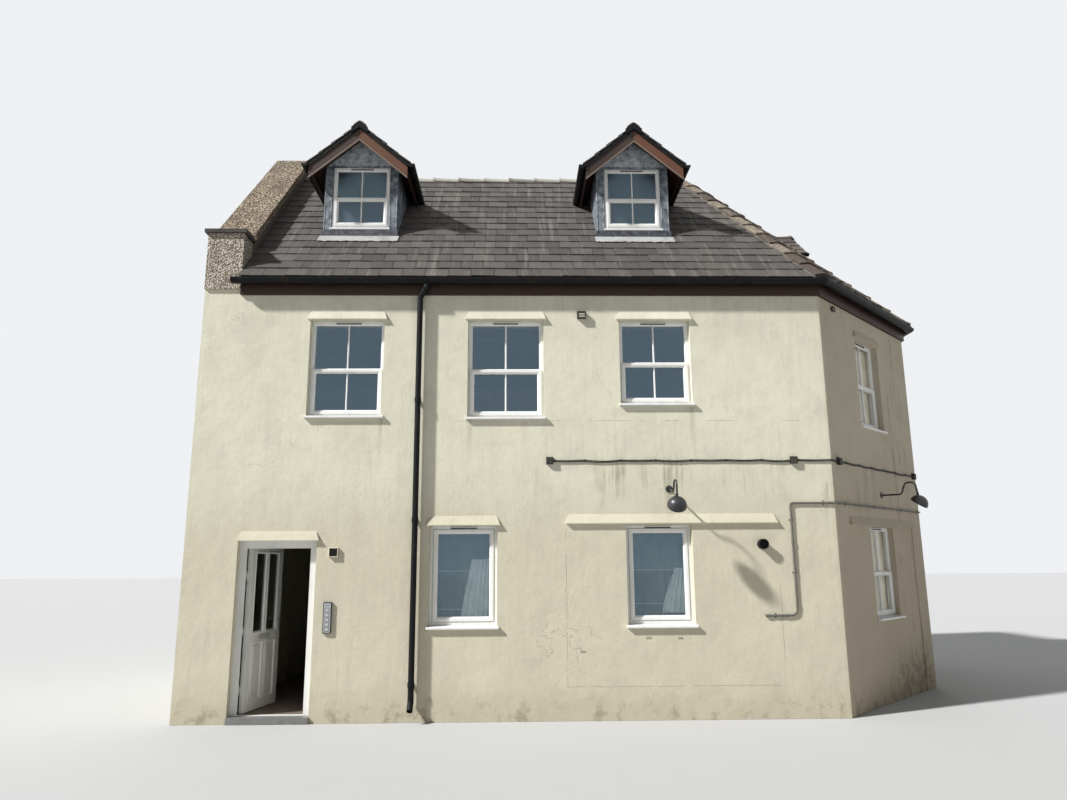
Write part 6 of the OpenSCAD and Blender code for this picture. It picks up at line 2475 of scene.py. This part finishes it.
@dataclass
class Backdrop:
    """The floor, the lamps, the world and the camera."""

    floor_reach: float = 90.0
    floor_z: float = -0.002
    floor_tones: Tuple[Colour, Colour] = ((0.44, 0.44, 0.436), (0.46, 0.46, 0.456))
    suns: Tuple[Tuple[str, Point4], ...] = (
        ("key", (5.9, 3.0, 50.0, -66.0)), ("fill", (0.08, 80.0, 60.0, 62.0)),
        ("back", (0.8, 60.0, 50.0, 190.0)))
    sky: Tuple[Colour, float] = ((0.93, 0.96, 1.0), 0.19)
    behind: Tuple[Colour, float] = ((0.86, 0.88, 0.90), 1.0)
    camera_at: Point3 = (4.052, -9.831, 1.859)
    pitch: float = 0.20198
    yaw: float = 0.02277
    roll: float = -0.00579
    focal_px: float = 785.0
    photo_w: float = 1067.0

    def build(self) -> None:
        """Sets the scene round the object."""
        self.floor()
        self.lights()
        self.world()
        self.camera()
        bpy.context.scene.view_settings.view_transform = "Standard"

    def floor(self) -> None:
        """Lays the plain pale floor."""
        mesh = bpy.data.meshes.new("floor")
        r = self.floor_reach
        mesh.from_pydata([(-r, -r, 0), (r, -r, 0), (r, r, 0), (-r, r, 0)], [], [(0, 1, 2, 3)])
        obj = bpy.data.objects.new("floor", mesh)
        obj.location.z = self.floor_z
        bpy.context.scene.collection.objects.link(obj)
        recipe = Recipe("floor_paint")
        recipe.set(Base_Color=recipe.blend(recipe.noise(0.35, 3.0), *self.floor_tones), Roughness=0.9)
        obj.data.materials.append(recipe.material)

    def lights(self) -> None:
        """Hangs the key light to the left of the camera, a weak fill and a light from behind."""
        for name, (strength, angle, tilt, turn) in self.suns:
            lamp = bpy.data.lights.new(name, "SUN")
            lamp.energy = strength
            lamp.angle = math.radians(angle)
            obj = bpy.data.objects.new(name, lamp)
            obj.rotation_euler = (math.radians(tilt), 0, math.radians(turn))
            bpy.context.scene.collection.objects.link(obj)

    def world(self) -> None:
        """Gives a plain white world: soft light, and a pale background for the camera and the glass."""
        world = bpy.data.worlds.new("studio")
        world.use_nodes = True
        tree = world.node_tree
        tree.nodes.clear()
        output, light, seen, path, sharp, either, mix = (tree.nodes.new(f"ShaderNode{kind}") for kind in (
            "OutputWorld", "Background", "Background", "LightPath", "Math", "Math", "MixShader"))
        for node, (colour, strength) in ((light, self.sky), (seen, self.behind)):
            node.inputs["Color"].default_value = (*colour, 1.0)
            node.inputs["Strength"].default_value = strength
        for node in (sharp, either):
            node.operation = "MAXIMUM"
        rays = path.outputs
        for source, target in (
                (rays["Is Glossy Ray"], sharp.inputs[0]), (rays["Is Transmission Ray"], sharp.inputs[1]),
                (rays["Is Camera Ray"], either.inputs[0]), (sharp.outputs[0], either.inputs[1]),
                (either.outputs[0], mix.inputs[0]), (light.outputs[0], mix.inputs[1]),
                (seen.outputs[0], mix.inputs[2]), (mix.outputs[0], output.inputs["Surface"])):
            tree.links.new(source, target)
        bpy.context.scene.world = world

    def camera(self) -> None:
        """Puts the camera where the photograph was taken from."""
        (cp, sp), (cy, sy), (cr, sr) = ((math.cos(a), math.sin(a)) for a in (self.pitch, self.yaw, self.roll))
        right = Vector((cy, -sy, 0))
        forward = Vector((sy * cp, cy * cp, sp))
        upright = Vector((-sy * sp, -cy * sp, cp))
        turn = Matrix((right * cr + upright * sr, upright * cr - right * sr, -forward)).transposed()
        data = bpy.data.cameras.new("camera")
        data.sensor_width = 36.0
        data.lens = self.focal_px / self.photo_w * data.sensor_width
        data.clip_end = 400.0
        camera = bpy.data.objects.new("camera", data)
        camera.matrix_world = Matrix.Translation(self.camera_at) @ turn.to_4x4()
        bpy.context.scene.collection.objects.link(camera)
        bpy.context.scene.camera = camera


FINISH_OF: Dict[str, Finish] = {
    **dict.fromkeys((
        "front_wall_left", "front_wall_over_door", "front_wall_ground", "front_wall_upper", "splay_wall",
        "side_wall", "rear_gable_wall", "wing_wall", "rear_wall"), CREAM),
    "party_wall": PARTY, "parapet_coping": PEBBLES, "parapet_pier": PIER_DASH, "pier_cap": CAP_STONE,
    **dict.fromkeys(("ground_floor", "first_floor", "attic_floor"), BOARDS),
    **dict.fromkeys(("front_slope", "splay_slope", "side_slope", "wing_slope", "rear_slope"), DECK),
    "ridge_tiles": RIDGE_TILE, "hip_tiles": HIP_TILE, "dormer_roofs": SHADED_FASCIA_PAINT,
    "fascia_boards": SHADED_FASCIA_PAINT, "barge_boards": SUNLIT_BARGE,
    "gutters": BLACK_PLASTIC, "downpipe": BLACK_PLASTIC,
    "dormer_walls": FACE_LEAD, "dormer_aprons": PALE_LEAD,
    **dict.fromkeys(("front_windows", "splay_windows", "side_windows", "rear_windows", "dormer_windows",
                     "window_sills", "door_leaf"), WHITE_FRAME),
    **dict.fromkeys(("front_glass", "side_glass", "rear_glass", "door_glass"), GLASS),
    "dormer_glass": HAZED_GLASS, "splay_glass": CLEAR_GLASS,
    "door_frame": DOOR_FRAME, "door_furniture": CHROME, "wall_lamps": ENAMEL, "surface_cable": CABLE,
    "conduit": GALVANISED, "entry_panel": BRUSHED, "wall_vents": VENT_PLASTIC, "net_curtains": NET}


def main() -> None:
    """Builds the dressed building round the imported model."""
    logging.basicConfig(level=logging.INFO, format="%(name)s: %(message)s")
    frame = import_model()
    for name, obj in frame["nodes"].items():
        FINISH_OF[name].dress(obj)
    dormers = [
        Dormer("left_dormer", PLAN.front(), 1.81, 0.80), Dormer("right_dormer", PLAN.front(), 5.76, 0.80),
        Dormer("side_dormer", PLAN.side(), PLAN.side_w / 2, 1.07)]
    for part in (
            Backdrop(), Roof(dormers), Glazing(dormers), DormerTrim(dormers), FrontDoor(), Curtains(),
            LampBulbs(), EntryPanel(), WallVents(), GutterUnions(), WallEye(), TwinCable(), Conduit()):
        part.build()


if __name__ == "__main__":
    main()
